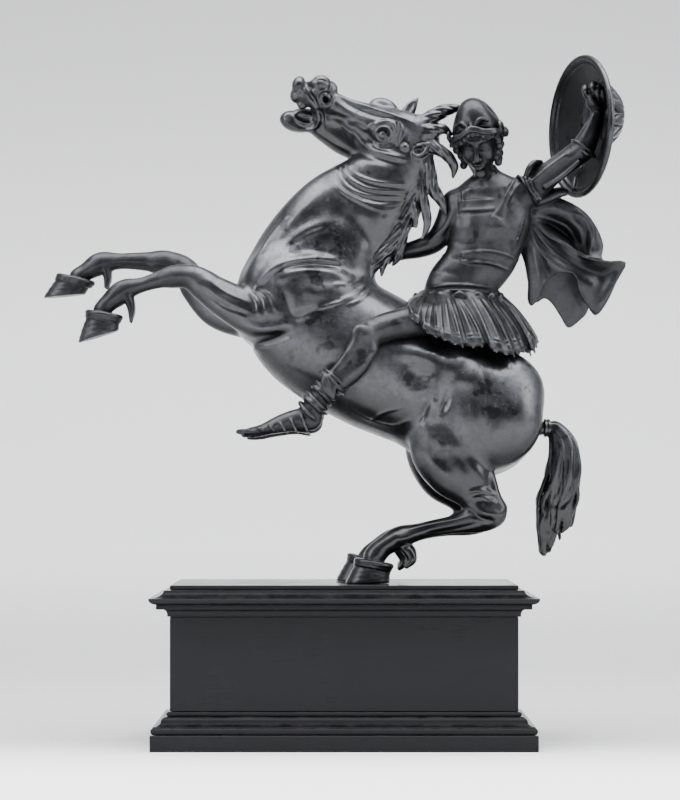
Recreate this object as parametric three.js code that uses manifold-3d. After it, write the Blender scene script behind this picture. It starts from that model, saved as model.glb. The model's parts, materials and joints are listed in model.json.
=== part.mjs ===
// Equestrian statuette: a bronze rider on a rearing horse, on an ebonised wooden plinth.
// Millimetres, +Z up. The origin is the middle of the plinth's underside; the horse faces -X.
//
// The bronze is sculpted as a field of distances on a grid, in sculpt units: one unit is
// 1/394 of the group's height, X runs along the horse, Y to its far side and Z up, with the
// slab's top at Z = 120. Limbs, locks and folds are added to the field or cut from it, and
// the surface between inside and outside is then reduced to large flat facets.
import * as THREE from 'three';
import { mergeVertices } from 'three/addons/utils/BufferGeometryUtils.js';
import Module from 'manifold-3d';

const wasm = await Module();
wasm.setup();

// Driving dimensions
const GROUP_HEIGHT = 394; // bronze group, from the hoof soles to the top of the shield
const SEAM = 0.3; // gap between two pieces that touch

const DIE_LENGTH = 252.6; // plain block of the plinth, along X
const DIE_DEPTH = 120; // and along Y
const DIE_HEIGHT = 68.3;

// Plinth mouldings from the floor up; an overhang is measured past the die's faces
const FOOT_HEIGHT = 11.9;
const FOOT_OVERHANG = 13.7;
const TORUS_RADIUS = 2.6; // half-round moulding on the foot
const TORUS_OVERHANG = 13.2;
const OGEE_STEP = 0.5; // small upright under the ogee
const OGEE_HEIGHT = 6.9;
const OGEE_OVERHANG = 11.5;
const BEAD_RADIUS = 1.6; // small half-round under the die
const BEAD_OVERHANG = 2.4;

// Cornice: necking, cove, upright fascia, drip with its sharp edge, hollow slope to the slab
const NECKING_HEIGHT = 1.4;
const NECKING_OVERHANG = 1.8;
const COVE_HEIGHT = 4.1;
const COVE_OVERHANG = 5.3;
const FASCIA_HEIGHT = 3.6;
const FASCIA_OVERHANG = 9.4;
const DRIP_HEIGHT = 4.4;
const DRIP_OVERHANG = 14.7;
const CYMA_HEIGHT = 5.6;
const CYMA_OVERHANG = 4.1;
const SLAB_HEIGHT = 3.2; // flush with the die

// Grids of the sculpture and the facets kept on each cast
const HORSE_CELL = 2.3;
const RIDER_CELL = 1.7;
const SHIELD_CELL = 1.8;
const TAIL_CELL = 1.5;
const HORSE_FACETS = 3900;
const RIDER_FACETS = 3300;
const SHIELD_FACETS = 500;
const TAIL_FACETS = 460;

// Sculpt frame
const SCULPT_HEIGHT = 394; // of the group, in sculpt units
const SCULPT_GROUND = 120; // Z of the soles
const UNIT = GROUP_HEIGHT / SCULPT_HEIGHT;

const BRONZE = { color: 0x26282b, roughness: 0.35, metalness: 0.9 };
const EBONISED = { color: 0x15161a, roughness: 0.42, metalness: 0.0 };

// Numbers of the field
const OUTSIDE = 30; // distance given to empty samples
const BEND = 2.5; // how softly two stretches of one limb meet
const TAU = 2 * Math.PI;

const radians = (degrees) => degrees * Math.PI / 180;
const clamp = (v, low, high) => Math.min(Math.max(v, low), high);

/** Whole numbers from 0 up to n - 1, each passed to make. */
const loop = (n, make) => Array.from({ length: n }, (unused, i) => make(i));

/** Rows of numbers carried on a Catmull-Rom curve through the given rows. */
function smooth(rows, steps) {
  if (rows.length === 2) {
    return loop(steps + 1, (k) => rows[0].map((a, j) => a + (rows[1][j] - a) * k / steps));
  }
  const last = rows.length - 1;
  const beyond = (a, b) => a.map((v, j) => 2 * v - b[j]);
  const p = [beyond(rows[0], rows[1]), ...rows, beyond(rows[last], rows[last - 1])];
  const out = [];
  for (let i = 1; i < p.length - 2; i++) {
    for (let k = 0; k < steps; k++) {
      const t = k / steps;
      out.push(p[i].map((b, j) => {
        const a = p[i - 1][j];
        const c = p[i + 1][j];
        const d = p[i + 2][j];
        const bend = 2 * a - 5 * b + 4 * c - d;
        const twist = 3 * b - a - 3 * c + d;
        return 0.5 * (2 * b + (c - a) * t + bend * t * t + twist * t * t * t);
      }));
    }
  }
  out.push(rows[last].slice());
  return out;
}

/** Signed distance to an ellipse with half axes a and b, near enough for sculpting. */
function ellipse(u, v, a, b) {
  const q = Math.hypot(u / a, v / b);
  if (q < 1e-3) return -Math.min(a, b);
  return q * (q - 1) / Math.hypot(u / (a * a), v / (b * b));
}

/** A local frame: a point is the origin plus u, v and w along its three axes. */
class Frame {
  constructor(origin, along, up, roll = 0) {
    const u = new THREE.Vector3(...along).normalize();
    const v = new THREE.Vector3(...up);
    v.addScaledVector(u, -v.dot(u)).normalize();
    const w = new THREE.Vector3().crossVectors(v, u);
    const c = Math.cos(radians(roll));
    const s = Math.sin(radians(roll));
    this.origin = new THREE.Vector3(...origin);
    this.u = u;
    this.v = v.clone().multiplyScalar(c).addScaledVector(w, s);
    this.w = w.clone().multiplyScalar(c).addScaledVector(v, -s);
  }

  at(u, v, w) {
    const p = this.origin.clone().addScaledVector(this.u, u);
    return p.addScaledVector(this.v, v).addScaledVector(this.w, w).toArray();
  }

  rows(rows) {
    return rows.map(([u, v, w, ...rest]) => [...this.at(u, v, w), ...rest]);
  }
}

const WORLD = new Frame([0, 0, 0], [1, 0, 0], [0, 0, 1]);

/** A box of samples of a signed distance, negative inside the bronze. */
class Clay {
  constructor(low, high, cell) {
    this.low = low;
    this.cell = cell;
    this.size = low.map((l, k) => Math.ceil((high[k] - l) / cell) + 1);
    this.d = new Float32Array(this.size[0] * this.size[1] * this.size[2]).fill(OUTSIDE);
  }

  /** First and last sample inside a box, on each axis. */
  window(low, high) {
    const from = low.map((l, k) => Math.max(0, Math.floor((l - this.low[k]) / this.cell)));
    const to = high.map((h, k) => Math.min(this.size[k], Math.ceil((h - this.low[k]) / this.cell) + 1));
    return { from, to };
  }

  place(axis, i) {
    return this.low[axis] + i * this.cell;
  }

  /** Joins a distance to the sample at an index, with a fillet of size blend. */
  mix(index, distance, blend, cut) {
    const old = this.d[index];
    const d = cut ? -distance : distance;
    const fillet = blend > 0 ? Math.max(blend - Math.abs(old - d), 0) / blend : 0;
    const round = fillet * fillet * blend / 4;
    this.d[index] = cut ? Math.max(old, d) + round : Math.min(old, d) - round;
  }

  /** Runs over every sample of a window, with its index and place. */
  each({ from, to }, visit) {
    const [, ny, nz] = this.size;
    for (let i = from[0]; i < to[0]; i++) {
      const x = this.place(0, i);
      for (let j = from[1]; j < to[1]; j++) {
        const y = this.place(1, j);
        const row = (i * ny + j) * nz;
        for (let k = from[2]; k < to[2]; k++) visit(row + k, x, y, this.place(2, k), i, j, k);
      }
    }
  }

  /** A limb seen from the front: rows of x, z, half height, y, half depth. */
  sweep(rows, blend = 4, steps = 6) {
    const p = smooth(rows, steps);
    const pad = blend + 3 * this.cell;
    const span = (at, reach) => [
      Math.min(...p.map((r) => r[at] - r[reach])) - pad,
      Math.max(...p.map((r) => r[at] + r[reach])) + pad,
    ];
    const [x, y, z] = [span(0, 2), span(3, 4), span(1, 2)];
    const box = this.window([x[0], y[0], z[0]], [x[1], y[1], z[1]]);
    const [, ny, nz] = this.size;
    for (let i = box.from[0]; i < box.to[0]; i++) {
      for (let k = box.from[2]; k < box.to[2]; k++) {
        const [away, r, mid, depth] = nearest(p, this.place(0, i), this.place(2, k), BEND, [2, 3, 4]);
        for (let j = box.from[1]; j < box.to[1]; j++) {
          const d = ellipse(away, this.place(1, j) - mid, Math.max(r, 0.3), Math.max(depth, 0.3));
          this.mix((i * ny + j) * nz + k, d, blend, false);
        }
      }
    }
  }

  /** A limb in a frame: rows of u, v, half height along v, w, half width along w. */
  limb(frame, rows, blend = 3, cut = false, steps = 5) {
    const p = smooth(rows, steps);
    const pad = blend + 3 * this.cell;
    const low = [Infinity, Infinity, Infinity];
    const high = [-Infinity, -Infinity, -Infinity];
    for (const r of p) {
      const c = frame.at(r[0], r[1], r[3]);
      const reach = Math.max(r[2], r[4]) + pad;
      for (let a = 0; a < 3; a++) {
        low[a] = Math.min(low[a], c[a] - reach);
        high[a] = Math.max(high[a], c[a] + reach);
      }
    }
    const { origin, u, v, w } = frame;
    this.each(this.window(low, high), (index, px, py, pz) => {
      const x = px - origin.x;
      const y = py - origin.y;
      const z = pz - origin.z;
      const a = x * u.x + y * u.y + z * u.z;
      const b = x * v.x + y * v.y + z * v.z;
      const c = x * w.x + y * w.y + z * w.z;
      const [away, r, mid, depth] = nearest(p, a, b, 1.2, [2, 3, 4]);
      this.mix(index, ellipse(away, c - mid, Math.max(r, 0.3), Math.max(depth, 0.3)), blend, cut);
    });
  }

  /** An ellipsoid with half axes along u, v and w of a frame, or along X, Z and Y. */
  ball(centre, radii, blend = 3, cut = false, frame = WORLD) {
    const c = frame === WORLD ? centre : frame.at(...centre);
    const reach = Math.max(...radii) + blend + 3 * this.cell;
    const { u, v, w } = frame;
    this.each(this.window(c.map((m) => m - reach), c.map((m) => m + reach)), (index, px, py, pz) => {
      const [x, y, z] = [px - c[0], py - c[1], pz - c[2]];
      const a = (x * u.x + y * u.y + z * u.z) / radii[0];
      const b = (x * v.x + y * v.y + z * v.z) / radii[1];
      const e = (x * w.x + y * w.y + z * w.z) / radii[2];
      const q = Math.hypot(a, b, e);
      const slope = Math.hypot(a / radii[0], b / radii[1], e / radii[2]);
      this.mix(index, q < 1e-3 ? -Math.min(...radii) : q * (q - 1) / slope, blend, cut);
    });
  }

  /** A round rope through rows of x, y, z, radius. */
  rope(rows, blend = 1.5, steps = 4) {
    const p = smooth(rows, steps);
    const pad = blend + 3 * this.cell;
    const axes = [0, 1, 2];
    const reach = (a, b) => this.window(
      axes.map((k) => Math.min(a[k] - a[3], b[k] - b[3]) - pad),
      axes.map((k) => Math.max(a[k] + a[3], b[k] + b[3]) + pad),
    );
    const near = new Map();
    const [, ny, nz] = this.size;
    for (let s = 0; s < p.length - 1; s++) {
      const [ax, ay, az, ar] = p[s];
      const [vx, vy, vz, vr] = p[s + 1].map((v, k) => v - p[s][k]);
      const n = Math.max(vx * vx + vy * vy + vz * vz, 1e-9);
      const { from, to } = reach(p[s], p[s + 1]);
      for (let i = from[0]; i < to[0]; i++) {
        const x = this.place(0, i) - ax;
        for (let j = from[1]; j < to[1]; j++) {
          const y = this.place(1, j) - ay;
          for (let k = from[2]; k < to[2]; k++) {
            const z = this.place(2, k) - az;
            const t = clamp((x * vx + y * vy + z * vz) / n, 0, 1);
            const d = Math.hypot(x - t * vx, y - t * vy, z - t * vz) - ar - t * vr;
            const index = (i * ny + j) * nz + k;
            const known = near.get(index);
            if (known === undefined || d < known) near.set(index, d);
          }
        }
      }
    }
    near.forEach((d, index) => this.mix(index, d, blend, false));
  }

  /** A hoof: front and back of its coronet, then of its sole, as x, z; half width in depth. */
  hoof(y, front, back, toe, heel, half) {
    const line = (a, b) => {
      const n = Math.hypot(b[0] - a[0], b[1] - a[1]);
      return (x, z) => ((x - a[0]) * (b[1] - a[1]) - (z - a[1]) * (b[0] - a[0])) / n;
    };
    const fromTop = line(front, back);
    const fromSole = line(toe, heel);
    const xs = [front[0], back[0], toe[0], heel[0]];
    const zs = [front[1], back[1], toe[1], heel[1]];
    const low = [Math.min(...xs) - 6, y - half - 6, Math.min(...zs) - 6];
    const high = [Math.max(...xs) + 6, y + half + 6, Math.max(...zs) + 6];
    this.each(this.window(low, high), (index, x, py, z) => {
      const top = fromTop(x, z);
      const sole = fromSole(x, z);
      const k = clamp(top / Math.max(top - sole, 1), -0.4, 1.4);
      const left = [front[0] + (toe[0] - front[0]) * k, front[1] + (toe[1] - front[1]) * k];
      const right = [back[0] + (heel[0] - back[0]) * k, back[1] + (heel[1] - back[1]) * k];
      const [dx, dz] = [right[0] - left[0], right[1] - left[1]];
      const reach = Math.hypot(dx, dz) / 2;
      const q = ((x - (left[0] + right[0]) / 2) * dx + (z - (left[1] + right[1]) / 2) * dz) / (2 * reach);
      const wall = ellipse(q, py - y, reach, half * (0.84 + 0.16 * k));
      this.mix(index, Math.max(wall, sole, -top - 2), 0.5, false);
    });
    const mid = [(front[0] + back[0]) / 2, (front[1] + back[1]) / 2];
    this.rope(loop(17, (i) => {
      const t = TAU * i / 16;
      const x = mid[0] + (back[0] - mid[0]) * Math.cos(t);
      return [x, y + half * 0.86 * Math.sin(t), mid[1] + (back[1] - mid[1]) * Math.cos(t), 2];
    }), 0.7, 1);
  }

  /** Raises or lowers both flanks by strokes drawn in the front view. */
  relief(strokes) {
    const map = this.strokeMap(strokes);
    const whole = this.window(this.low, this.low.map((l, k) => l + this.cell * this.size[k]));
    this.each(whole, (index, x, y, z, i, j, k) => {
      this.d[index] -= map[i * this.size[2] + k] * (0.8 - 0.2 * Math.tanh(y / 8));
    });
  }

  /** Heights over the front view from strokes: height, half width and points x, z. */
  strokeMap(strokes) {
    const [nx, , nz] = this.size;
    const map = new Float32Array(nx * nz);
    for (const [height, width, points] of strokes) {
      const p = smooth(points, 5);
      const reach = 3 * width;
      const xs = p.map((r) => r[0]);
      const zs = p.map((r) => r[1]);
      const low = [Math.min(...xs) - reach, this.low[1], Math.min(...zs) - reach];
      const high = [Math.max(...xs) + reach, this.low[1], Math.max(...zs) + reach];
      const { from, to } = this.window(low, high);
      for (let i = from[0]; i < to[0]; i++) {
        for (let k = from[2]; k < to[2]; k++) {
          const [x, z] = [this.place(0, i), this.place(2, k)];
          let best = Infinity;
          let along = 0;
          for (let s = 0; s < p.length - 1; s++) {
            const [ax, az] = p[s];
            const [dx, dz] = [p[s + 1][0] - ax, p[s + 1][1] - az];
            const t = clamp(((x - ax) * dx + (z - az) * dz) / Math.max(dx * dx + dz * dz, 1e-9), 0, 1);
            const away = (x - ax - t * dx) ** 2 + (z - az - t * dz) ** 2;
            if (away < best) {
              best = away;
              along = (s + t) / (p.length - 1);
            }
          }
          const taper = Math.sin(Math.PI * (0.08 + 0.84 * along)) ** 0.6;
          map[i * nz + k] += height * taper * Math.exp(-best / (2 * width * width));
        }
      }
    }
    return map;
  }

  /** Distance at a place, between its eight samples. */
  distanceAt(x, y, z) {
    const f = [x, y, z].map((v, k) => (v - this.low[k]) / this.cell);
    const i = f.map((v) => Math.floor(v));
    if (i.some((v, k) => v < 0 || v >= this.size[k] - 1)) return OUTSIDE;
    const [, ny, nz] = this.size;
    const t = f.map((v, k) => v - i[k]);
    let sum = 0;
    for (let c = 0; c < 8; c++) {
      const [a, b, e] = [c & 1, (c >> 1) & 1, c >> 2];
      const weight = (a ? t[0] : 1 - t[0]) * (b ? t[1] : 1 - t[1]) * (e ? t[2] : 1 - t[2]);
      sum += weight * this.d[((i[0] + a) * ny + i[1] + b) * nz + i[2] + e];
    }
    return sum;
  }

  /** Cuts away what lies inside another piece or closer to it than gap. */
  makeRoom(other, gap) {
    const top = other.low.map((l, k) => l + other.cell * (other.size[k] - 1));
    this.each(this.window(other.low, top), (index, x, y, z) => {
      if (this.d[index] < 6) this.d[index] = Math.max(this.d[index], gap - other.distanceAt(x, y, z));
    });
  }

  /** Cuts everything flat below a height. */
  flatten(height) {
    const whole = this.window(this.low, this.low.map((l, k) => l + this.cell * this.size[k]));
    this.each(whole, (index, x, y, z) => {
      this.d[index] = Math.max(this.d[index], height - z);
    });
  }
}

/** Distance from a spine in its plane and the values there, softly joined at the bends. */
function nearest(p, x, z, softness, columns) {
  let total = 1e-30;
  let away = 0;
  const sums = [0, 0, 0];
  for (let s = 0; s < p.length - 1; s++) {
    const a = p[s];
    const b = p[s + 1];
    const dx = b[0] - a[0];
    const dz = b[1] - a[1];
    const t = clamp(((x - a[0]) * dx + (z - a[1]) * dz) / Math.max(dx * dx + dz * dz, 1e-9), 0, 1);
    const d = Math.hypot(x - a[0] - t * dx, z - a[1] - t * dz);
    const weight = Math.exp(clamp((a[2] + t * (b[2] - a[2]) - d) / softness, -60, 60));
    total += weight;
    away += weight * d;
    for (let c = 0; c < 3; c++) {
      const k = columns[c];
      sums[c] += weight * (a[k] + t * (b[k] - a[k]));
    }
  }
  return [away / total, sums[0] / total, sums[1] / total, sums[2] / total];
}

// A cell of the grid is split into six tetrahedra round its long diagonal: two corners of
// each, and whether it is a mirror image
const SIX = [[1, 3, 0], [1, 5, 1], [2, 3, 1], [2, 6, 0], [4, 5, 0], [4, 6, 1]];

// For each set of inside corners of a tetrahedron, the edges cut by its face, in turn
const CUTS = loop(16, (set) => {
  const inside = [0, 1, 2, 3].filter((c) => (set >> c) & 1);
  const outside = [0, 1, 2, 3].filter((c) => !((set >> c) & 1));
  const order = [...inside, ...outside];
  const swaps = order.flatMap((a, i) => order.slice(i + 1).filter((b) => b < a)).length;
  const [a, b] = inside;
  const [e, f] = outside;
  let edges = [];
  if (inside.length === 1) edges = outside.map((c) => [a, c]);
  if (inside.length === 2) edges = [[a, e], [a, f], [b, f], [b, e]];
  if (inside.length === 3) edges = inside.map((c) => [c, e]);
  return swaps % 2 ? edges.reverse() : edges;
});

/** Triangles between the inside and the outside of the clay, as points and faces. */
function skin({ size: [nx, ny, nz], d, cell, low }) {
  const shift = loop(8, (c) => (c & 1) * ny * nz + ((c >> 1) & 1) * nz + (c >> 2));
  const points = [];
  const faces = [];
  const known = new Map();
  const crossing = (base, from, to) => {
    const [first, second] = from < to ? [from, to] : [to, from];
    const a = base + shift[first];
    const key = a * 8 + second - first;
    let index = known.get(key);
    if (index === undefined) {
      const b = base + shift[second];
      const t = clamp(d[a] / (d[a] - d[b]), 0.04, 0.96);
      const i = Math.floor(a / (ny * nz));
      const j = Math.floor(a / nz) % ny;
      const way = second - first;
      index = points.length / 3;
      points.push(
        low[0] + cell * (i + t * (way & 1)),
        low[1] + cell * (j + t * ((way >> 1) & 1)),
        low[2] + cell * (a % nz + t * (way >> 2)),
      );
      known.set(key, index);
    }
    return index;
  };
  for (let i = 0; i < nx - 1; i++) {
    for (let j = 0; j < ny - 1; j++) {
      for (let k = 0; k < nz - 1; k++) {
        const base = (i * ny + j) * nz + k;
        const first = d[base] < 0;
        let mixed = false;
        for (let c = 1; c < 8 && !mixed; c++) mixed = (d[base + shift[c]] < 0) !== first;
        if (!mixed) continue;
        for (const [one, two, mirrored] of SIX) {
          const corner = [0, one, two, 7];
          let set = 0;
          for (let c = 0; c < 4; c++) if (d[base + shift[corner[c]]] < 0) set |= 1 << c;
          if (CUTS[set].length === 0) continue;
          const cut = CUTS[set].map(([a, b]) => crossing(base, corner[a], corner[b]));
          for (let c = 2; c < cut.length; c++) {
            if (mirrored) faces.push(cut[0], cut[c], cut[c - 1]);
            else faces.push(cut[0], cut[c - 1], cut[c]);
          }
        }
      }
    }
  }
  return largestBody({ points, faces });
}

/** Keeps the body with the greatest volume, without crumbs and sealed bubbles. */
function largestBody({ points, faces }) {
  const parent = new Int32Array(points.length / 3).map((unused, i) => i);
  const root = (v) => {
    let r = v;
    while (parent[r] !== r) r = parent[r];
    while (parent[v] !== r) [v, parent[v]] = [parent[v], r];
    return r;
  };
  for (let f = 0; f < faces.length; f += 3) {
    parent[root(faces[f])] = root(faces[f + 1]);
    parent[root(faces[f + 1])] = root(faces[f + 2]);
  }
  const volume = new Map();
  for (let f = 0; f < faces.length; f += 3) {
    const [a, b, c] = [3 * faces[f], 3 * faces[f + 1], 3 * faces[f + 2]];
    const six = points[a] * (points[b + 1] * points[c + 2] - points[b + 2] * points[c + 1])
      + points[a + 1] * (points[b + 2] * points[c] - points[b] * points[c + 2])
      + points[a + 2] * (points[b] * points[c + 1] - points[b + 1] * points[c]);
    const r = root(faces[f]);
    volume.set(r, (volume.get(r) || 0) + six);
  }
  const [best] = [...volume.entries()].reduce((a, b) => (b[1] > a[1] ? b : a));
  const number = new Map();
  const kept = { points: [], faces: [] };
  for (let f = 0; f < faces.length; f += 3) {
    if (root(faces[f]) !== best) continue;
    for (const v of [faces[f], faces[f + 1], faces[f + 2]]) {
      if (!number.has(v)) {
        number.set(v, number.size);
        kept.points.push(points[3 * v], points[3 * v + 1], points[3 * v + 2]);
      }
      kept.faces.push(number.get(v));
    }
  }
  return kept;
}

/** Closes edges in rounds, the flattest first, until a number of facets is left. */
function facet({ points, faces }, target) {
  const p = Float64Array.from(points);
  const corner = Int32Array.from(faces);
  const alive = new Uint8Array(faces.length / 3).fill(1);
  const ring = loop(points.length / 3, () => []); // faces round each point
  const error = new Float64Array(ring.length * 10); // squared distance to those faces, as a form
  const mark = new Int32Array(ring.length);
  const n = [0, 0, 0];
  const spot = [0, 0, 0];
  let round = 0;
  let left = alive.length;

  const cross = (a, b, c) => {
    const ux = p[3 * b] - p[3 * a];
    const uy = p[3 * b + 1] - p[3 * a + 1];
    const uz = p[3 * b + 2] - p[3 * a + 2];
    const vx = p[3 * c] - p[3 * a];
    const vy = p[3 * c + 1] - p[3 * a + 1];
    const vz = p[3 * c + 2] - p[3 * a + 2];
    n[0] = uy * vz - uz * vy;
    n[1] = uz * vx - ux * vz;
    n[2] = ux * vy - uy * vx;
    return Math.sqrt(n[0] * n[0] + n[1] * n[1] + n[2] * n[2]);
  };

  for (let f = 0; f < alive.length; f++) {
    const [a, b, c] = [corner[3 * f], corner[3 * f + 1], corner[3 * f + 2]];
    const area = cross(a, b, c);
    const [x, y, z] = n.map((v) => v / Math.max(area, 1e-12));
    const w = -(x * p[3 * a] + y * p[3 * a + 1] + z * p[3 * a + 2]);
    const form = [x * x, x * y, x * z, x * w, y * y, y * z, y * w, z * z, z * w, w * w];
    for (const v of [a, b, c]) {
      ring[v].push(f);
      for (let k = 0; k < 10; k++) error[10 * v + k] += form[k] * area;
    }
  }

  // Error left if points a and b meet at the best spot, which is written down
  const price = (a, b) => {
    const i = 10 * a;
    const j = 10 * b;
    const A = error[i] + error[j];
    const B = error[i + 1] + error[j + 1];
    const C = error[i + 2] + error[j + 2];
    const D = error[i + 3] + error[j + 3];
    const E = error[i + 4] + error[j + 4];
    const F = error[i + 5] + error[j + 5];
    const G = error[i + 6] + error[j + 6];
    const H = error[i + 7] + error[j + 7];
    const I = error[i + 8] + error[j + 8];
    const J = error[i + 9] + error[j + 9];
    const det = A * (E * H - F * F) - B * (B * H - F * C) + C * (B * F - E * C);
    const mx = (p[3 * a] + p[3 * b]) / 2;
    const my = (p[3 * a + 1] + p[3 * b + 1]) / 2;
    const mz = (p[3 * a + 2] + p[3 * b + 2]) / 2;
    spot[0] = mx;
    spot[1] = my;
    spot[2] = mz;
    if (Math.abs(det) > 1e-5 * (A + E + H) ** 3) {
      const x = -(D * (E * H - F * F) - B * (G * H - F * I) + C * (G * F - E * I)) / det;
      const y = -(A * (G * H - I * F) - D * (B * H - F * C) + C * (B * I - G * C)) / det;
      const z = -(A * (E * I - F * G) - B * (B * I - G * C) + D * (B * F - E * C)) / det;
      const reach = (p[3 * a] - p[3 * b]) ** 2 + (p[3 * a + 1] - p[3 * b + 1]) ** 2
        + (p[3 * a + 2] - p[3 * b + 2]) ** 2;
      if ((x - mx) ** 2 + (y - my) ** 2 + (z - mz) ** 2 < 2 * reach) {
        spot[0] = x;
        spot[1] = y;
        spot[2] = z;
      }
    }
    const [x, y, z] = spot;
    return A * x * x + 2 * B * x * y + 2 * C * x * z + 2 * D * x + E * y * y + 2 * F * y * z
      + 2 * G * y + H * z * z + 2 * I * z + J;
  };

  // True if a and b share just the two points beside their edge
  const clean = (a, b) => {
    round += 2;
    for (const f of ring[a]) for (let k = 0; k < 3; k++) mark[corner[3 * f + k]] = round;
    let shared = 0;
    for (const f of ring[b]) {
      for (let k = 0; k < 3; k++) {
        const v = corner[3 * f + k];
        if (mark[v] === round && v !== a && v !== b) {
          mark[v] = round + 1;
          shared++;
        }
      }
    }
    return shared === 2;
  };

  // True if a face round v, one without other, would turn over or vanish at the spot
  const turnsOver = (v, other) => {
    for (const f of ring[v]) {
      const a = corner[3 * f];
      const b = corner[3 * f + 1];
      const c = corner[3 * f + 2];
      if (a === other || b === other || c === other) continue;
      const before = cross(a, b, c);
      const x = n[0];
      const y = n[1];
      const z = n[2];
      const [px, py, pz] = [p[3 * v], p[3 * v + 1], p[3 * v + 2]];
      p.set(spot, 3 * v);
      const after = cross(a, b, c);
      p.set([px, py, pz], 3 * v);
      if (x * n[0] + y * n[1] + z * n[2] < 0.2 * before * after || after < 1e-3) return true;
    }
    return false;
  };

  const close = (a, b) => {
    p.set(spot, 3 * a);
    for (let k = 0; k < 10; k++) error[10 * a + k] += error[10 * b + k];
    const touched = new Set();
    for (const f of ring[b]) {
      const three = [corner[3 * f], corner[3 * f + 1], corner[3 * f + 2]];
      if (three.includes(a)) {
        alive[f] = 0;
        left--;
        three.forEach((v) => touched.add(v));
      } else {
        corner[3 * f + three.indexOf(b)] = a;
        ring[a].push(f);
      }
    }
    for (const v of touched) ring[v] = ring[v].filter((f) => alive[f]);
    ring[b] = [];
  };

  for (let limit = 1e-3; left > target && limit < 1e6; limit *= 1.6) {
    for (let f = 0; f < alive.length && left > target; f++) {
      for (let k = 0; k < 3 && alive[f]; k++) {
        const a = corner[3 * f + k];
        const b = corner[3 * f + (k + 1) % 3];
        const cheap = a < b && price(a, b) < limit;
        if (cheap && clean(a, b) && !turnsOver(a, b) && !turnsOver(b, a)) close(a, b);
      }
    }
  }
  const rest = { points: [...p], faces: [] };
  for (let f = 0; f < alive.length; f++) {
    if (alive[f]) rest.faces.push(corner[3 * f], corner[3 * f + 1], corner[3 * f + 2]);
  }
  return largestBody(rest);
}

/** A ring of rope rows: makes one row for each angle, closed. */
const circle = (n, make) => loop(n + 1, (i) => make(TAU * i / n));

/** Leaning ellipsoid axes, in degrees from the horizontal, at a place. */
const leaning = (centre, degrees) => new Frame(
  centre,
  [Math.cos(radians(degrees)), 0, -Math.sin(radians(degrees))],
  [Math.sin(radians(degrees)), 0, Math.cos(radians(degrees))],
);

// The horse's head lies along this frame: u to the muzzle, v to the nose line, turned to the
// near side
const HEAD = new Frame([55, -4, 452], [-0.956, 0, 0.292], [0.292, 0, 0.956], 35);

// Raised and sunk strokes on the horse's flanks: height, half width and points x, z
const MUSCLES = [
  // creases of the throat
  [1.6, 1.4, [[-3, 431], [2, 422], [10, 415], [22, 411], [46, 410]]],
  [1.5, 1.5, [[-8, 428], [-4, 416], [4, 408], [18, 402], [44, 402]]],
  [-1.8, 4.5, [[-6, 421], [10, 409], [30, 404], [46, 405]]],
  // long muscles of the neck
  [2.4, 5, [[-70, 352], [-52, 374], [-32, 396], [-12, 412]]],
  [2.2, 4, [[-58, 350], [-42, 368], [-24, 381], [-4, 384]]],
  [-1.8, 3, [[-44, 366], [-27, 377], [-8, 384]]],
  [-1.8, 5, [[-10, 396], [6, 388], [20, 372], [22, 356]]],
  // shoulder and elbow
  [2.6, 3.4, [[-66, 338], [-56, 349], [-40, 357], [-20, 360], [-4, 358]]],
  [-2.2, 2.4, [[-42, 352], [-25, 354], [-6, 353]]],
  [2.2, 3, [[-48, 345], [-30, 350], [-10, 349], [4, 346]]],
  [-2, 3, [[-45, 338], [-42, 326], [-36, 316], [-20, 320]]],
  [1.6, 4, [[-30, 338], [-18, 334], [0, 338]]],
  [-2.8, 2.6, [[-76, 302], [-68, 297.5], [-56, 299], [-42, 303]]],
  [1.8, 3, [[-72, 309], [-60, 306], [-44, 309]]],
  // flank and croup
  [2.6, 5, [[36, 291], [56, 289], [76, 281]]],
  [2.4, 7, [[84, 275], [92, 270], [102, 273]]],
  [-2.4, 6, [[48, 278], [54, 270], [56, 262]]],
  [2.2, 3.6, [[71, 280], [68, 262], [66, 248], [60, 236]]],
  [-2.6, 2.6, [[75, 259], [74, 253], [71, 246]]],
  [-2.4, 2.4, [[61, 252], [59, 247], [57, 241]]],
  [-1.6, 5, [[104, 262], [108, 246], [104, 232], [96, 222]]],
  // stifle, second thigh and hock
  [2.2, 4.5, [[54, 236], [62, 229], [72, 226]]],
  [1.2, 4.0, [[64, 218], [76, 221], [88, 218], [95, 210], [99, 198]]],
  [-1.8, 2.4, [[84, 212], [88, 207], [90, 200]]],
  [1.6, 2.4, [[97, 177], [104, 172], [114, 171]]],
  [-1.2, 1.6, [[98, 164], [80, 160], [62, 157]]],
];

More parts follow.
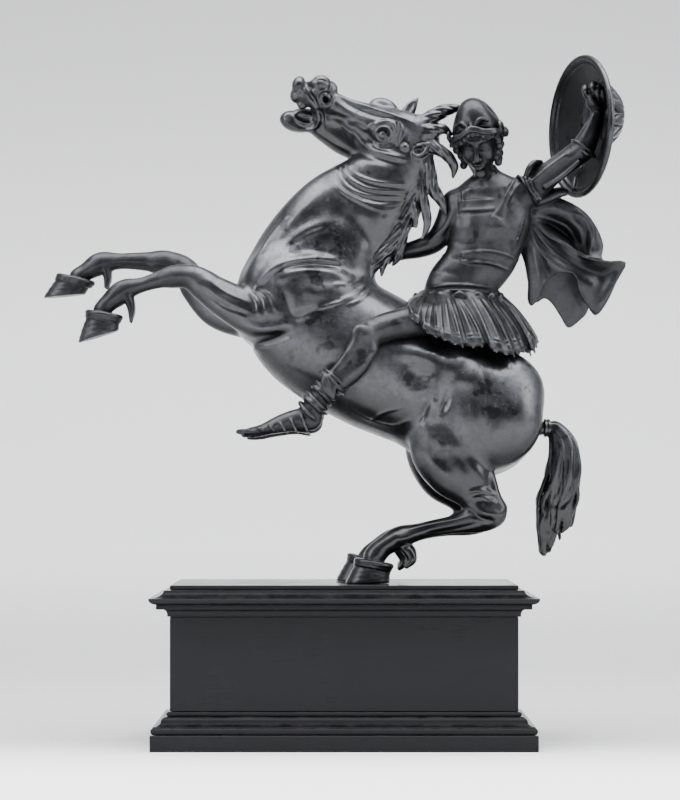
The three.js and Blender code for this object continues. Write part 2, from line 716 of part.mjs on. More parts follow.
// Locks of the mane: rows of x, y, z, radius
const MANE = [
  [[52, -6, 455, 6], [62, -8, 463, 6], [74, -8, 470, 5], [86, -6, 475, 3]],
  [[56, -9, 451, 5], [66, -12, 454, 4.5], [78, -11, 457, 1.5]],
  [[58, -8, 448, 6], [68, -12, 443, 5.5], [77, -12, 437, 5], [82, -10, 429, 4], [81, -8, 421, 1]],
  [[58, -6, 444, 7], [63, -8, 428, 6.5], [66, -8, 414, 6], [73, -8, 403, 4.5], [76, -8, 394, 1]],
  [[54, -4, 430, 8], [57, -6, 412, 6], [61, -6, 397, 4.5], [62, -6, 386, 3.5], [58, -6, 376, 1]],
  [[50, -4, 415, 8], [50, -6, 402, 5], [53, -6, 394, 3.5], [53, -6, 385, 2.5]],
  [[48, -3, 405, 8], [45, -5, 390, 6.5], [43, -5, 375, 5], [40, -5, 362, 3.5], [36, -5, 356, 1]],
  [[42, -3, 392, 8], [36, -5, 375, 7], [30, -5, 361, 5], [28, -5, 348, 1]],
  [[34, -3, 378, 8], [26, -8, 362, 6], [21, -8, 352, 4], [19, -8, 343, 1.5]],
  [[56, 6, 440, 9], [58, 8, 420, 8], [54, 9, 402, 7], [46, 9, 385, 5], [44, 10, 372, 1]],
  [[48, 5, 412, 9], [42, 8, 392, 8], [32, 9, 374, 6], [26, 10, 360, 1.5]],
];

function horseBody(clay) {
  // Barrel from croup to girth, then the neck from the chest up to the poll
  clay.sweep([
    [112, 261, 36, 0, 33], [98, 245, 49, 0, 40], [62, 266, 49, 0, 43],
    [23, 285, 52, 0, 43], [-17, 308, 51, 0, 40], [-38, 328, 44, 0, 35],
  ], 6);
  clay.sweep([
    [-30, 334, 50, 0, 34], [-20, 361, 46, 0, 28], [-2, 388, 41, 0, 23],
    [18, 408, 33, -1, 19], [37, 429, 25, -2, 16], [52, 446, 16, -3, 13],
  ], 8);
  for (const side of [-1, 1]) {
    // Ham and buttock
    clay.ball([104, side * 22, 243], [43, 40, 24], 8);
    clay.ball([118, side * 15, 262], [30, 27, 20], 8);
    clay.ball([0, 0, 0], [40, 21, 17], 7, false, leaning([74, side * 24, 276], 14));
    // Shoulder blade and breast
    clay.ball([0, 0, 0], [40, 26, 17], 9, false, leaning([-32, side * 20, 336], 25));
    clay.ball([0, 0, 0], [20, 24, 17], 8, false, leaning([-60, side * 15, 318], 15));
  }
}

function horseHead(clay) {
  // Skull and nose, then jowl, cheek and jaw in one wedge as far as the corner of the mouth
  clay.limb(HEAD, [
    [-4, -2, 14, 0, 12], [8, 0, 17, 0, 14], [24, 0, 16, 0, 14.5], [40, 2, 12.5, 0, 11.5],
    [56, 3.2, 9.8, 0, 9], [70, 6, 9.5, 0, 9], [82, 8, 10, 0, 9.5], [90, 8.5, 8.5, 0, 9],
  ], 5);
  clay.ball([27, -17, 0], [24, 20, 14.5], 6, false, HEAD);
  clay.limb(HEAD, [
    [14, -8, 20, 0, 13.5], [30, -9, 20, 0, 13], [46, -9, 17, 0, 11], [60, -8, 13, 0, 9.5],
    [74, -6, 8.5, 0, 8.5],
  ], 4);
  clay.limb(HEAD, [
    [30, -18, 16, 0, 11], [50, -21, 12, 0, 9], [66, -17.5, 10, 0, 8], [79, -14.5, 7.5, 0, 7.5],
    [88, -16, 7.5, 0, 8],
  ], 4);
  // Lower lip, wrinkled muzzle, and the upper lip in two lobes over the open mouth
  clay.ball([92, -17.2, 0], [11.5, 7.6, 8.6], 2, false, HEAD);
  clay.ball([80, 15.5, 1], [8, 10.2, 7.5], 3, false, HEAD);
  clay.ball([96, 13, 0], [5, 6.4, 7], 1.5, false, HEAD);
  clay.ball([95.5, 5, 0], [5, 6.4, 7.5], 1.5, false, HEAD);
  clay.ball([89.5, 0, 1], [4.5, 4, 7.5], 1.5, false, HEAD);
  clay.limb(HEAD, [
    [82, -5, 1.6, 3, 9], [90, -5.6, 2.6, 3, 11], [98, -5.4, 3.8, 3, 13], [108, -5, 6, 3, 15],
  ], 1, true);
  clay.ball([86, -9, 8], [8.5, 3.8, 6], 1, true, HEAD);
  clay.limb(HEAD, [[76, -8, 3.4, -2, 5], [86, -8.4, 3, -2, 5], [93, -9.6, 2, -1, 4]], 1);
  // Brow of the far side
  clay.ball([31, 10.5, -9], [11, 7.5, 6.5], 2.5, false, HEAD);
  for (const side of [1, -1]) {
    // Eye in its socket, brow and cheek bone; the far eye sits higher
    const high = side > 0 ? 1.2 : 5;
    clay.ball([25, high + 0.5, side * 12], [8.6, 7.8, 4.6], 2.5, false, HEAD);
    clay.ball([25, high, side * 17], [5.6, 5, 3.2], 0.8, true, HEAD);
    clay.ball([25, high, side * 13.4], [4.1, 4.1, 3.6], 0.3, false, HEAD);
    clay.rope(HEAD.rows([
      [33, high + 4, side * 14.2, 1.2], [25, high + 8, side * 14.8, 1.6], [15, high + 5, side * 14.4, 1.4],
    ]), 1);
    clay.rope(HEAD.rows([
      [58, -14, side * 9.5, 1.4], [42, -11, side * 12, 2], [24, -10, side * 14.5, 2.4],
      [6, -8, side * 14, 2],
    ]), 3);
    // Nostril in its raised ring
    clay.ball([73.5, 12.6, side * 7], [6.6, 6.4, 3.6], 2.5, false, HEAD);
    clay.rope(HEAD.rows(circle(12, (t) => [
      73.5 + 5.4 * Math.cos(t), 12.6 + 5.4 * Math.sin(t), side * 9.6, 1.3,
    ])), 0.9, 1);
    clay.ball([73.3, 12, side * 11], [2.9, 2.9, 6], 0.6, true, HEAD);
  }
  // Rim of the lips, from the upper one round the corner of the mouth to the lower one
  clay.rope(HEAD.rows([
    [94.4, 18, 5.5, 1.2], [89, 10.5, 8.6, 1.5], [82.7, 5.3, 9.4, 1.6], [77.5, 0.3, 9.6, 1.6],
    [74.6, -6.7, 9.2, 1.6], [76.6, -12.6, 8.8, 1.5], [81.5, -17.4, 8.2, 1.5], [91.4, -19.2, 7.6, 1.5],
    [98, -16.6, 6.4, 1.5], [101, -12.6, 4, 1.4],
  ]), 1);
  // Knob of bone, near ear laid back and open, far ear pricked
  clay.ball([7, -5, 13.4], [4.4, 4.4, 4], 1.5, false, HEAD);
  clay.ball([56, -17, 440.6], [6.6, 4.8, 5], 1.5);
  clay.ball([55.6, -22, 441], [4.3, 2.8, 3.6], 0.5, true);
  clay.limb(new Frame([48, 8, 472], [0.5, 0, 0.87], [1, 0, -0.5]), [
    [-4, 0, 6, 0, 4.5], [5, 0, 4.8, 0, 3.2], [14.5, 1, 1.1, 0, 1],
  ], 2);
}

/** A foreleg from the elbow to the hoof, in four stretches of x, z, half height, half depth. */
function foreleg(clay, y, upper, knee, cannon, tuft, hoof) {
  const rows = (list) => list.map(([x, z, high, deep]) => [x, z, high, y, deep]);
  clay.sweep(rows(upper), 5);
  clay.sweep(rows(knee), 3);
  clay.sweep(rows(cannon), 3);
  clay.rope(tuft.map(([x, z, r]) => [x, y, z, r]), 2);
  clay.hoof(y, ...hoof, 11);
}

function horseLegs(clay) {
  foreleg(
    clay,
    -24,
    [[-48, 320, 21, 13], [-66, 319, 18, 12], [-85, 328, 15.5, 11], [-103, 339, 12, 10]],
    [[-103, 340, 12.5, 10], [-113, 346, 10.5, 10], [-122, 346.5, 9, 8.5], [-130, 346, 8, 6.5]],
    [
      [-122, 347, 9, 7], [-137, 344, 7.5, 5.5], [-150, 340, 7, 5.5], [-161, 337, 9, 7.5],
      [-168, 332, 9.5, 8], [-175, 326, 7.5, 7], [-179, 321, 8, 8],
    ],
    [[-160, 334, 6], [-157, 325, 4.5], [-157.5, 315, 1.2]],
    [[-189, 320], [-165.5, 316], [-196.5, 297.5], [-166.5, 306.5]],
  );
  foreleg(
    clay,
    24,
    [[-50, 322, 20, 13], [-72, 318, 16, 12], [-95, 326, 16, 11], [-112, 342, 13, 10]],
    [[-110, 341, 12, 10], [-122, 355, 12, 10], [-133, 360, 10.5, 9], [-142, 361, 9, 7]],
    [
      [-135, 361, 9.5, 7], [-155, 362, 8, 5.5], [-170, 362, 7.5, 5.5], [-182, 361, 9.5, 7.5],
      [-189, 358, 9.5, 8], [-197, 353, 7.5, 7], [-202, 350, 8, 8],
    ],
    [[-180, 358, 6], [-179, 351, 4.5], [-180, 345, 2.5]],
    [[-216, 351], [-191, 345], [-228, 334], [-196, 337]],
  );
  // Hind legs, the far one a little further forward and lower
  for (const [y, dx, dz] of [[-27, 0, 0], [24, -4, -3]]) {
    clay.sweep([
      [98 + dx / 2, 242, 40, y * 0.7, 20], [80 + dx / 2, 224, 33, y * 0.85, 18],
      [84 + dx, 206 + dz, 26, y, 15], [92 + dx, 193 + dz, 18, y, 12],
      [98 + dx, 183 + dz, 14, y, 10], [103 + dx, 174 + dz, 14, y, 10],
    ], 5);
    clay.sweep([
      [110 + dx, 171 + dz, 11.5, y, 8], [98 + dx, 168 + dz, 12, y, 9],
      [84 + dx, 164 + dz, 8.5, y, 7], [68 + dx, 161 + dz, 7.5, y, 6.5],
      [52 + dx, 157 + dz, 8, y, 7.5], [40 + dx, 153 + dz, 10, y, 9],
      [28 + dx, 146 + dz, 8.5, y, 8], [22 + dx, 139 + dz, 9.5, y, 9],
    ], 3);
    // Achilles tendon and fetlock tuft
    clay.rope([[108 + dx, y, 198 + dz, 4], [112 + dx, y, 184 + dz, 4], [115 + dx, y, 176 + dz, 5]], 4);
    clay.rope([[45 + dx, y, 150 + dz, 7], [50 + dx, y, 141 + dz, 6], [46 + dx, y, 135 + dz, 3]], 2);
  }
  clay.hoof(-27, [9.5, 137], [34.5, 132.5], [0.5, 119.7], [33.5, 119.7], 12.5);
  clay.hoof(24, [4.5, 139], [28, 133], [-6.5, 119.7], [27, 119.7], 12.5);
}

/** A lock of hair: strands wound loosely round a path of x, y, z, radius. */
function lock(clay, path, strands, seed) {
  const p = smooth(path, 6).map((row) => new THREE.Vector4(...row));
  for (let i = 0; i < strands; i++) {
    const rows = [];
    for (let k = 0; k < p.length; k += 2) {
      const before = p[Math.max(k - 1, 0)];
      const after = p[Math.min(k + 1, p.length - 1)];
      const along = new THREE.Vector3().subVectors(after, before).normalize();
      const a = new THREE.Vector3().crossVectors(along, new THREE.Vector3(0, 1, 0.02)).normalize();
      const b = new THREE.Vector3().crossVectors(along, a);
      const turn = TAU * (i / strands + seed + 0.7 * k / (p.length - 1));
      const r = p[k].w * 0.52;
      rows.push([
        p[k].x + r * (Math.cos(turn) * a.x + Math.sin(turn) * b.x),
        p[k].y + r * (Math.cos(turn) * a.y + Math.sin(turn) * b.y),
        p[k].z + r * (Math.cos(turn) * a.z + Math.sin(turn) * b.z),
        Math.max(r, 0.8),
      ]);
    }
    clay.rope(rows, 0.9, 2);
  }
}

function horse() {
  const clay = new Clay([-232, -50, 116], [156, 46, 506], HORSE_CELL);
  horseBody(clay);
  horseLegs(clay);
  MANE.forEach((path, i) => lock(clay, path, 3, 0.13 * i));
  clay.relief(MUSCLES);
  horseHead(clay);
  clay.flatten(SCULPT_GROUND);
  return clay;
}

/** The tail: a root, then strands that fall, part and end in tips. */
function tail() {
  const clay = new Clay([138, -22, 130], [186, 22, 248], TAIL_CELL);
  clay.sweep([
    [143, 234, 7, 0, 7], [150, 235, 5.8, 0, 6.2], [157, 233, 6.4, 0, 7], [163, 225, 7.4, 0, 7.5],
    [165, 212, 9.5, 0, 7.8], [164, 196, 9.5, 0, 7.8], [161, 182, 8, 0, 6.8], [156, 168, 5, 0, 5.4],
  ], 2);
  const strands = 12;
  for (let i = 0; i < strands; i++) {
    const t = 2 * ((i * 0.618) % 1) - 1;
    const round = (i % 2 ? 1 : -1) * (0.35 + 0.65 * Math.sqrt(Math.max(0, 1 - t * t)));
    const wave = 2 * Math.sin(2.1 * i);
    const tipX = 151.5 + 5 * t + 13 * Math.max(t, 0) ** 1.6;
    const tipZ = 145 + 26 * Math.max(t, 0) ** 1.2 + 4 * Math.sin(5 * i);
    clay.rope([
      [150, round, 235, 3.4], [157 + 3 * t, 4.4 * round, 235 + 2.6 * t, 3],
      [164 + 9 * t, 7 * round, 222 + 2 * t, 3],
      [164 + 11 * t + wave, 7.6 * round, 202, 3.2], [160 + 13 * t - wave, 7 * round, 182, 2.9],
      [(158 + 14 * t + tipX) / 2 + wave, 5.2 * round, 164, 2.4], [tipX, 3 * round, tipZ, 1.4],
    ], 0.6);
  }
  return clay;
}

// Rider

// The face looks along v of this frame, u is up: bowed 25 degrees and turned 10 to the left
const BOW = Math.sin(radians(25));
const HOLD = Math.cos(radians(25));
const TURN = radians(-10);
const FACE = new Frame(
  [100.5, -9, 446.7],
  [-0.16, -BOW, HOLD],
  [Math.sin(TURN), -Math.cos(TURN) * HOLD, -BOW],
);

// Edge of the skirt: degrees from the horse's tail, x, depth and z
const HEM = [
  [-180, 47, 0, 324], [-165, 48, -30, 319], [-145, 52, -46, 313], [-125, 62, -47, 305],
  [-105, 76, -45, 299], [-90, 88, -43, 294], [-72, 101, -41, 295], [-55, 115, -36, 292],
  [-38, 128, -28, 289], [-20, 136, -17, 294], [0, 140, 0, 303],
];

function torso(clay) {
  // Pelvis to shoulders, then the line of the shoulders, then the neck
  clay.sweep([
    [86, 320, 27, 0, 20], [86, 337, 27, 0, 17], [91, 347, 25.5, -1, 15], [98, 355, 25.5, -1, 15],
    [103, 365, 28, -2, 16], [107, 379, 29.5, -3, 17.5], [110, 394, 31, -2, 17.5], [109, 405, 24, 0, 13],
  ], 4);
  clay.sweep([
    [84, 403, 11, 0, 11], [96, 411, 9, 1, 10], [108, 416, 10, 1, 10], [122, 413, 10, 1, 10],
    [134, 409, 12, 0, 11.5],
  ], 5);
  clay.sweep([[109, 413, 11, 1, 9], [107, 425, 9.5, 2, 8], [104, 438, 8.5, 1, 8.5]], 5);
  // Cuirass modelled as a bare chest: breast, two columns of the belly and its rim
  for (const x of [94, 119]) clay.ball([x, -14.5, 389], [14, 8.5, 4.2], 5);
  for (let i = 0; i < 3; i++) {
    for (const side of [-1, 1]) {
      clay.ball([101 - 4 * i + side * 6.2, -15.5 + 0.4 * i, 373 - 10 * i], [5.6, 4.4, 2.8], 2.5);
    }
  }
  clay.rope([
    [72, -11, 356, 2.2], [82, -15.5, 345, 2.2], [90, -17, 339, 2], [100, -16, 343, 2.2],
    [114, -10, 351, 2.2],
  ], 3);
  // Bands at the neckline and the waist, and the shoulder straps
  for (const [dy, dz] of [[0, 0], [-1.4, -5]]) {
    clay.rope([
      [84, -15 + dy, 402 + dz, 1.5], [92, -18.5 + dy, 402 + dz, 1.6], [104, -19.5 + dy, 403 + dz, 1.6],
      [114, -18 + dy, 401 + dz, 1.5],
    ], 0.8);
  }
  clay.rope([[117, -18, 392, 2], [123, -15, 404, 2], [128, -9, 416, 2], [130, -2, 421, 2]], 0.8);
  for (const drop of [0, 8]) {
    clay.rope([
      [80 - drop * 0.3, -15, 367 - drop, 1.4], [90 - drop * 0.2, -18.5, 367 - drop, 1.6],
      [104, -19.8, 366 - drop, 1.6], [116, -18.5, 364 - drop, 1.5], [127, -12.5, 362 - drop, 1.4],
    ], 0.8);
  }
  // Double edge of the cuirass over the skirt
  for (const [z, grow] of [[336.5, 0], [332, 2]]) {
    clay.rope(circle(24, (t) => [
      85 + (30 + grow) * Math.cos(t), (19 + grow) * Math.sin(t), z + 2 * Math.cos(2 * t), 1.7,
    ]), 0.8, 1);
  }
}

/** Place of the skirt's edge at degrees round the rider, the horse's tail being 0. */
function hem(degrees) {
  const b = ((degrees + 180) % 360 + 360) % 360 - 180;
  const a = -Math.abs(b);
  const i = Math.max(1, HEM.findIndex((row) => row[0] >= a));
  const t = (a - HEM[i - 1][0]) / (HEM[i][0] - HEM[i - 1][0]);
  const [, x, y, z] = HEM[i].map((v, k) => HEM[i - 1][k] + t * (v - HEM[i - 1][k]));
  return new THREE.Vector3(x, b <= 0 ? y : -y, z);
}

// For a number of degrees on that edge, the degrees at the waist that a strip starts from
const WAIST = [[0, 0], [20, 14], [72, 92], [103, 114], [160, 158], [180, 180]];

/** The degrees at the waist over a place on the edge, the same on either side. */
function waistOver(degrees) {
  const off = degrees > 180 ? 360 - degrees : Math.abs(degrees);
  const k = Math.max(WAIST.findIndex(([edge]) => edge >= off), 1);
  const [[lowEdge, lowWaist], [highEdge, highWaist]] = [WAIST[k - 1], WAIST[k]];
  const at = lowWaist + (highWaist - lowWaist) * (off - lowEdge) / (highEdge - lowEdge);
  return radians(degrees > 0 && degrees < 180 ? at : -at);
}

function skirt(clay) {
  // Broad leather strips, raised and sunk by turns, over cloth that lies a little lower
  const strips = 16;
  for (let i = 0; i < strips; i++) {
    const middle = 360 * (i + 0.5) / strips - 180;
    const number = Math.min(i, strips - 1 - i);
    const length = 1 + 0.05 * Math.sin(2.7 * number + 1);
    for (const aside of [-8.5, -4.3, 0, 4.3, 8.5, 11.25]) {
      const under = aside > 9;
      const b = middle + aside;
      const turn = waistOver(b);
      const out = under ? -3 : 2.3 * (number % 2);
      const away = new THREE.Vector3(Math.cos(radians(b)), Math.sin(radians(b)), 0.5);
      const top = new THREE.Vector3(85 + 27 * Math.cos(turn), 17 * Math.sin(turn), 333);
      const end = top.clone().lerp(hem(b), length - (under ? 0.12 : 0)).addScaledVector(away, out);
      const mid = top.clone().lerp(end, 0.5).addScaledVector(away, 2.5 + out / 2);
      clay.rope([[...top.addScaledVector(away, out), 2.6], [...mid, 2.7], [...end, 2.7]], 1.5);
    }
  }
  // Rounded tabs over their upper ends
  const tabs = 14;
  for (let i = 0; i < tabs; i++) {
    const t = TAU * (i + 0.5) / tabs;
    const at = [85.5 + 31 * Math.cos(t), 21 * Math.sin(t), 329];
    const tab = new Frame(at, [-Math.sin(t), Math.cos(t), 0], [0.35 * Math.cos(t), 0.35 * Math.sin(t), 1]);
    clay.ball([0, 0, 0], [6.4, 7.4, 3.2], 0.5, false, tab);
  }
}

function riderLegs(clay) {
  for (const side of [-1, 1]) {
    const y = side * 48;
    // Thigh, shin, and foot on its sole
    clay.sweep([
      [82, 314, 14, side * 20, 13], [62, 314, 13.5, side * 31, 12], [44, 311, 12.5, side * 39, 11],
      [28, 307, 11.5, side * 44, 10.5], [15, 301, 10.5, y, 10],
    ], 4);
    clay.sweep([
      [16, 300, 11, y, 10], [10, 286, 11, y, 9.5], [3, 275, 10.5, y, 9], [-8, 265, 8.5, y, 8],
      [-18, 256, 8.5, y, 8], [-24, 246, 9, y, 8],
    ], 3);
    clay.ball([12, y + side * 7, 303], [7, 6.5, 4], 2);
    clay.rope([[8, y + side * 6, 295, 3.4], [-3, y + side * 5.6, 280, 3], [-14, y + side * 4.6, 268, 2.6]], 5);
    clay.rope([[20, y + side * 4, 291, 4.4], [11, y + side * 5, 277, 4.6], [0, y + side * 4, 266, 3]], 5);
    clay.sweep([
      [-24, 240, 9.5, y, 7], [-34, 240, 9, y, 7], [-46, 237, 8, y, 7.5], [-60, 232.5, 5.5, y, 8],
      [-72, 230.5, 3.8, y, 7],
    ], 3);
    clay.sweep([
      [-25, 230.5, 1.9, y, 8], [-38, 231.5, 1.9, y, 7.5], [-52, 230, 2, y, 8.5], [-64, 227.5, 2, y, 9],
      [-75, 228, 1.9, y, 7],
    ], 0.6);
    // Ankle straps, and the cuff with a leaf hanging over it
    for (const [x, z] of [[-13, 262], [-18.5, 256], [-24, 249]]) {
      clay.rope(circle(12, (t) => [
        x - 7 * Math.cos(t), y + 8.8 * Math.sin(t), z + 7 * Math.cos(t), 1.7,
      ]), 0.6, 1);
    }
    clay.rope(circle(12, (t) => [
      -8.5 - 8 * Math.cos(t), y + 9.6 * Math.sin(t), 267 + 7.2 * Math.cos(t), 2,
    ]), 0.8, 1);
    clay.limb(new Frame([-11, y + side * 9, 264], [0.35, 0, -1], [1, 0, 0.35]), [
      [-8, 0, 3, 0, 1.8], [-2, 0, 5.6, side, 2.1], [4, 0, 4.4, side, 2], [11, 0, 1, 0, 1.3],
    ], 0.6);
  }
}

function riderArms(clay) {
  // Right arm, reaching into the mane
  clay.sweep([
    [83, 404, 11, 0, 11], [78, 390, 10.5, 2, 9.5], [69, 376, 9.5, 4, 9], [56, 370, 8.5, 6, 8],
    [42, 367, 7.2, 6, 7], [35, 365, 6.5, 6, 7],
  ], 3);
  for (let k = 0; k < 4; k++) {
    clay.rope([
      [33, -2 + 4 * k, 370, 2.3], [28, -2 + 4 * k, 366, 2.3], [29, -2 + 4 * k, 361, 2.1],
      [34, -1 + 4 * k, 360, 1.9],
    ], 0.6);
  }
  // Left arm, raised behind the shield, and its fist
  clay.sweep([
    [133, 410, 13, 0, 12], [143, 416, 11.8, -1, 11], [154, 425, 10.8, -3, 10.5], [166, 434, 10, -5, 10],
    [178, 442.5, 9.5, -8, 9.5],
  ], 4);
  clay.sweep([
    [177, 442, 9.6, -8, 9.5], [181.5, 450, 9, -9.5, 9], [184.5, 458, 7.8, -11, 8],
    [187.4, 466, 5.6, -13, 6],
    [188, 471, 5.4, -14, 5.6],
  ], 3);
  clay.ball([187, -14, 477.5], [7.6, 8, 6], 2);
  for (const [x, z] of [[179, 485.2], [184.4, 487], [188.2, 483], [192.6, 482.6]]) {
    clay.rope([[x + 1.6, -13, z + 3.6, 2.4], [x, -19, z + 2, 2.6], [x - 0.8, -22.4, z - 1, 2.6]], 0.5);
  }
  clay.rope([[188, -19, 472, 2.5], [183.6, -21.6, 475.5, 2.5], [181.8, -21.4, 480, 2.1]], 0.6);
  // Bands at elbow and armpit, and cloth knotted on the shoulder
  clay.rope(circle(12, (t) => [
    178.6 - 8.2 * Math.cos(t), -8 + 10.2 * Math.sin(t), 443 + 6.2 * Math.cos(t), 1.5,
  ]), 0.6, 1);
  clay.rope(circle(12, (t) => [
    139 - 6 * Math.cos(t), -1 + 12.6 * Math.sin(t), 412.6 + 10.4 * Math.cos(t), 1.8,
  ]), 0.8, 1);
  clay.rope([[135, -5, 420, 3.6], [139, -6, 428, 4.2], [143, -5, 432.6, 3.8], [147, -4, 434, 1.6]], 1.2);
  clay.rope([[142, 1, 404, 5.4], [152, 1, 408, 5.8], [161, 0, 411.4, 5], [165, 0, 411.4, 3]], 2);
}

function riderHead(clay) {
  // Bowl of the helmet, opened in front before the head is put in
  const lean = FACE.u.clone().addScaledVector(FACE.w, 0.1);
  const helmet = new Frame(FACE.at(15.5, -2, 1.2), lean.toArray(), FACE.v.toArray());
  clay.limb(helmet, [
    [-17, -1, 18, 0, 17.5], [-10, -1, 19.6, 0, 18.6], [-3, -1, 19.4, 0, 18.2], [3, -1, 16, 0, 14.6],
    [8, -1, 11, 0, 9.6], [11, -1, 5.4, 0, 4.6],
  ], 0.6);
  clay.ball([-12.5, 15, 0], [14, 20, 17.5], 0.6, true, helmet);
  clay.ball([-24, 4, 0], [13, 26, 26], 0.6, true, helmet);
  // Skull, face and chin
  clay.ball([4.3, -2.2, 0], [20.5, 18.4, 14.6], 1, false, FACE);
  clay.limb(FACE, [
    [2, 3.2, 13, 0, 12.2], [-8.6, 4.3, 10.3, 0, 11.2], [-17.3, 6, 6.5, 0, 8.1],
    [-20.5, 7, 4.9, 0, 5.4],
  ], 3);
  for (const side of [-1, 1]) {
    // Cheek, brow, eye in its socket and wing of the nose
    clay.ball([-5.4, 9.7, side * 7], [5.4, 4.3, 4.3], 3, false, FACE);
    clay.rope(FACE.rows([
      [6, 15.5, side * 2, 1.7], [7, 14.9, side * 6, 1.8], [5.2, 12.1, side * 10.2, 1.5],
    ]), 1.6);
    clay.ball([1.3, 15.8, side * 5.6], [2.9, 3.1, 4], 1.2, true, FACE);
    clay.ball([1.3, 11.9, side * 5.4], [2.7, 2.8, 3.2], 0.4, false, FACE);
    clay.ball([-7.1, 16.8, side * 2.5], [1.7, 2.2, 1.6], 0.8, false, FACE);
  }
  clay.rope(FACE.rows([
    [6, 14.5, 0, 1.7], [1, 16.5, 0, 1.7], [-3.8, 18.7, 0, 2], [-6.5, 19.3, 0, 2.3],
  ]), 1.6);
  // Lips and chin
  clay.rope(FACE.rows([[-12, 14.7, -4.3, 0.9], [-11.1, 16.7, 0, 1.5], [-12, 14.7, 4.3, 0.9]]), 0.6);
  clay.rope(FACE.rows([[-13.4, 14.4, -3.7, 0.9], [-14.3, 16.2, 0, 1.6], [-13.4, 14.4, 3.7, 0.9]]), 0.5);
  clay.ball([-19.8, 11.9, 0], [3.7, 3.5, 4.3], 2, false, FACE);
  // Crest, brim that drops to the nape, eye slits and temple volutes
  clay.rope(helmet.rows([
    [0, 18.4, 0, 1.7], [4, 16.6, 0, 1.7], [8.4, 12, 0, 1.7], [11.6, 6, 0, 1.7], [12.8, -1, 0, 1.7],
    [11.4, -8, 0, 1.7], [7, -15, 0, 1.7], [0, -20.4, 0, 1.7], [-8, -21, 0, 1.7],
  ]), 1.2);
  clay.rope(helmet.rows(circle(24, (t) => {
    const drop = Math.cos(t) > 0 ? 12.5 * Math.sin(t) ** 2 : 12.5 - 2.5 * Math.cos(t);
    return [1.5 - drop + 1.1 * Math.cos(7 * t), -1 + 21 * Math.cos(t), 20.4 * Math.sin(t), 2.1];
  })), 1, 1);
  for (const side of [-1, 1]) {
    clay.ball([3.4, 16.6, side * 7.4], [1.5, 4, 4], 0.5, true, helmet);
    clay.rope(helmet.rows([
      [3.6, 17.4, side * 3.4, 1.2], [6.4, 14.6, side * 7.5, 1.4], [3.6, 12.4, side * 12.4, 1.2],
    ]), 0.6);
    clay.ball([-5, 6, side * 19.6], [4.6, 4.6, 2.4], 1, false, helmet);
    // Curls at the temples
    for (let j = 0; j < 5; j++) {
      for (let i = 0; i < 3; i++) {
        const high = 3.2 - 4.4 * j + i;
        const ahead = 7 - 5.4 * i - 0.9 * j;
        const out = side * (15.6 + 1.3 * Math.sin(2.2 * i + 1.7 * j) - 0.8 * j);
        clay.ball([high, ahead, out], [3.3, 3.3, 3], 0.6, false, FACE);
      }
    }
  }
  // Curls under the brim and at the nape
  for (let k = -6; k <= 6; k++) {
    const t = radians(11 * k);
    const curl = [-3 - 12.5 * Math.sin(t) ** 2, -1 + 18.4 * Math.cos(t), 18 * Math.sin(t)];
    clay.ball(curl, [3.3, 3.3, 3.3], 0.5, false, helmet);
  }
  for (let k = -3; k <= 3; k++) {
    for (let j = 0; j < 3; j++) {
      clay.ball([-2 - 5 * j, -13.5 + 0.5 * k * k, 3.9 * k], [3.4, 3.2, 2.9], 0.5, false, FACE);
    }
  }
}

// Cloak: the outline of its near and far layers in x, z, and strokes that fold them
const CLOAK_NEAR = [
  [138, 404], [147, 410], [160, 408], [172, 403], [182, 396], [190, 385], [195, 372], [194, 361], [212, 360],
  [205, 345], [198, 330], [190, 320], [184, 326], [176, 338], [174, 348], [168, 352], [158, 350], [150, 342],
  [146, 332], [141, 327], [138, 332], [138, 345], [135, 360], [131, 372], [132, 388],
];
const CLOAK_FAR = [
  [140, 398], [165, 396], [185, 380], [190, 350], [186, 326], [180, 318], [171, 312], [165, 320], [158, 330],
  [152, 334], [146, 331], [141, 340], [138, 360],
];
const FOLDS = [
  [7, 6.5, [[142, 401], [160, 400], [176, 391], [186, 378], [190, 362]]],
  [-9, 4.2, [[147, 391], [160, 386], [171, 377], [178, 366]]],
  [6, 4, [[142, 394], [153, 381], [166, 372], [181, 363], [196, 360], [212, 360]]],
  [-5, 4.5, [[146, 381], [158, 367], [174, 357], [190, 352]]],
  [6, 6, [[141, 388], [148, 372], [160, 360], [178, 351], [191, 324]]],
  [-4, 4, [[139, 384], [146, 366], [150, 350]]],
  [6, 4.5, [[136, 384], [140, 366], [143, 350], [142, 329]]],
  [5, 3.3, [[208, 356], [200, 341], [192, 325]]],
];

function outlineDistance(x, z, outline) {
  let nearestSquare = Infinity;
  let inside = false;
  for (let i = 0; i < outline.length; i++) {
    const [ax, az] = outline[i];
    const [bx, bz] = outline[(i + 1) % outline.length];
    const [dx, dz] = [bx - ax, bz - az];
    const t = clamp(((x - ax) * dx + (z - az) * dz) / Math.max(dx * dx + dz * dz, 1e-9), 0, 1);
    nearestSquare = Math.min(nearestSquare, (x - ax - t * dx) ** 2 + (z - az - t * dz) ** 2);
    if ((az > z) !== (bz > z) && x < dx * (z - az) / dz + ax) inside = !inside;
  }
  return inside ? -Math.sqrt(nearestSquare) : Math.sqrt(nearestSquare);
}

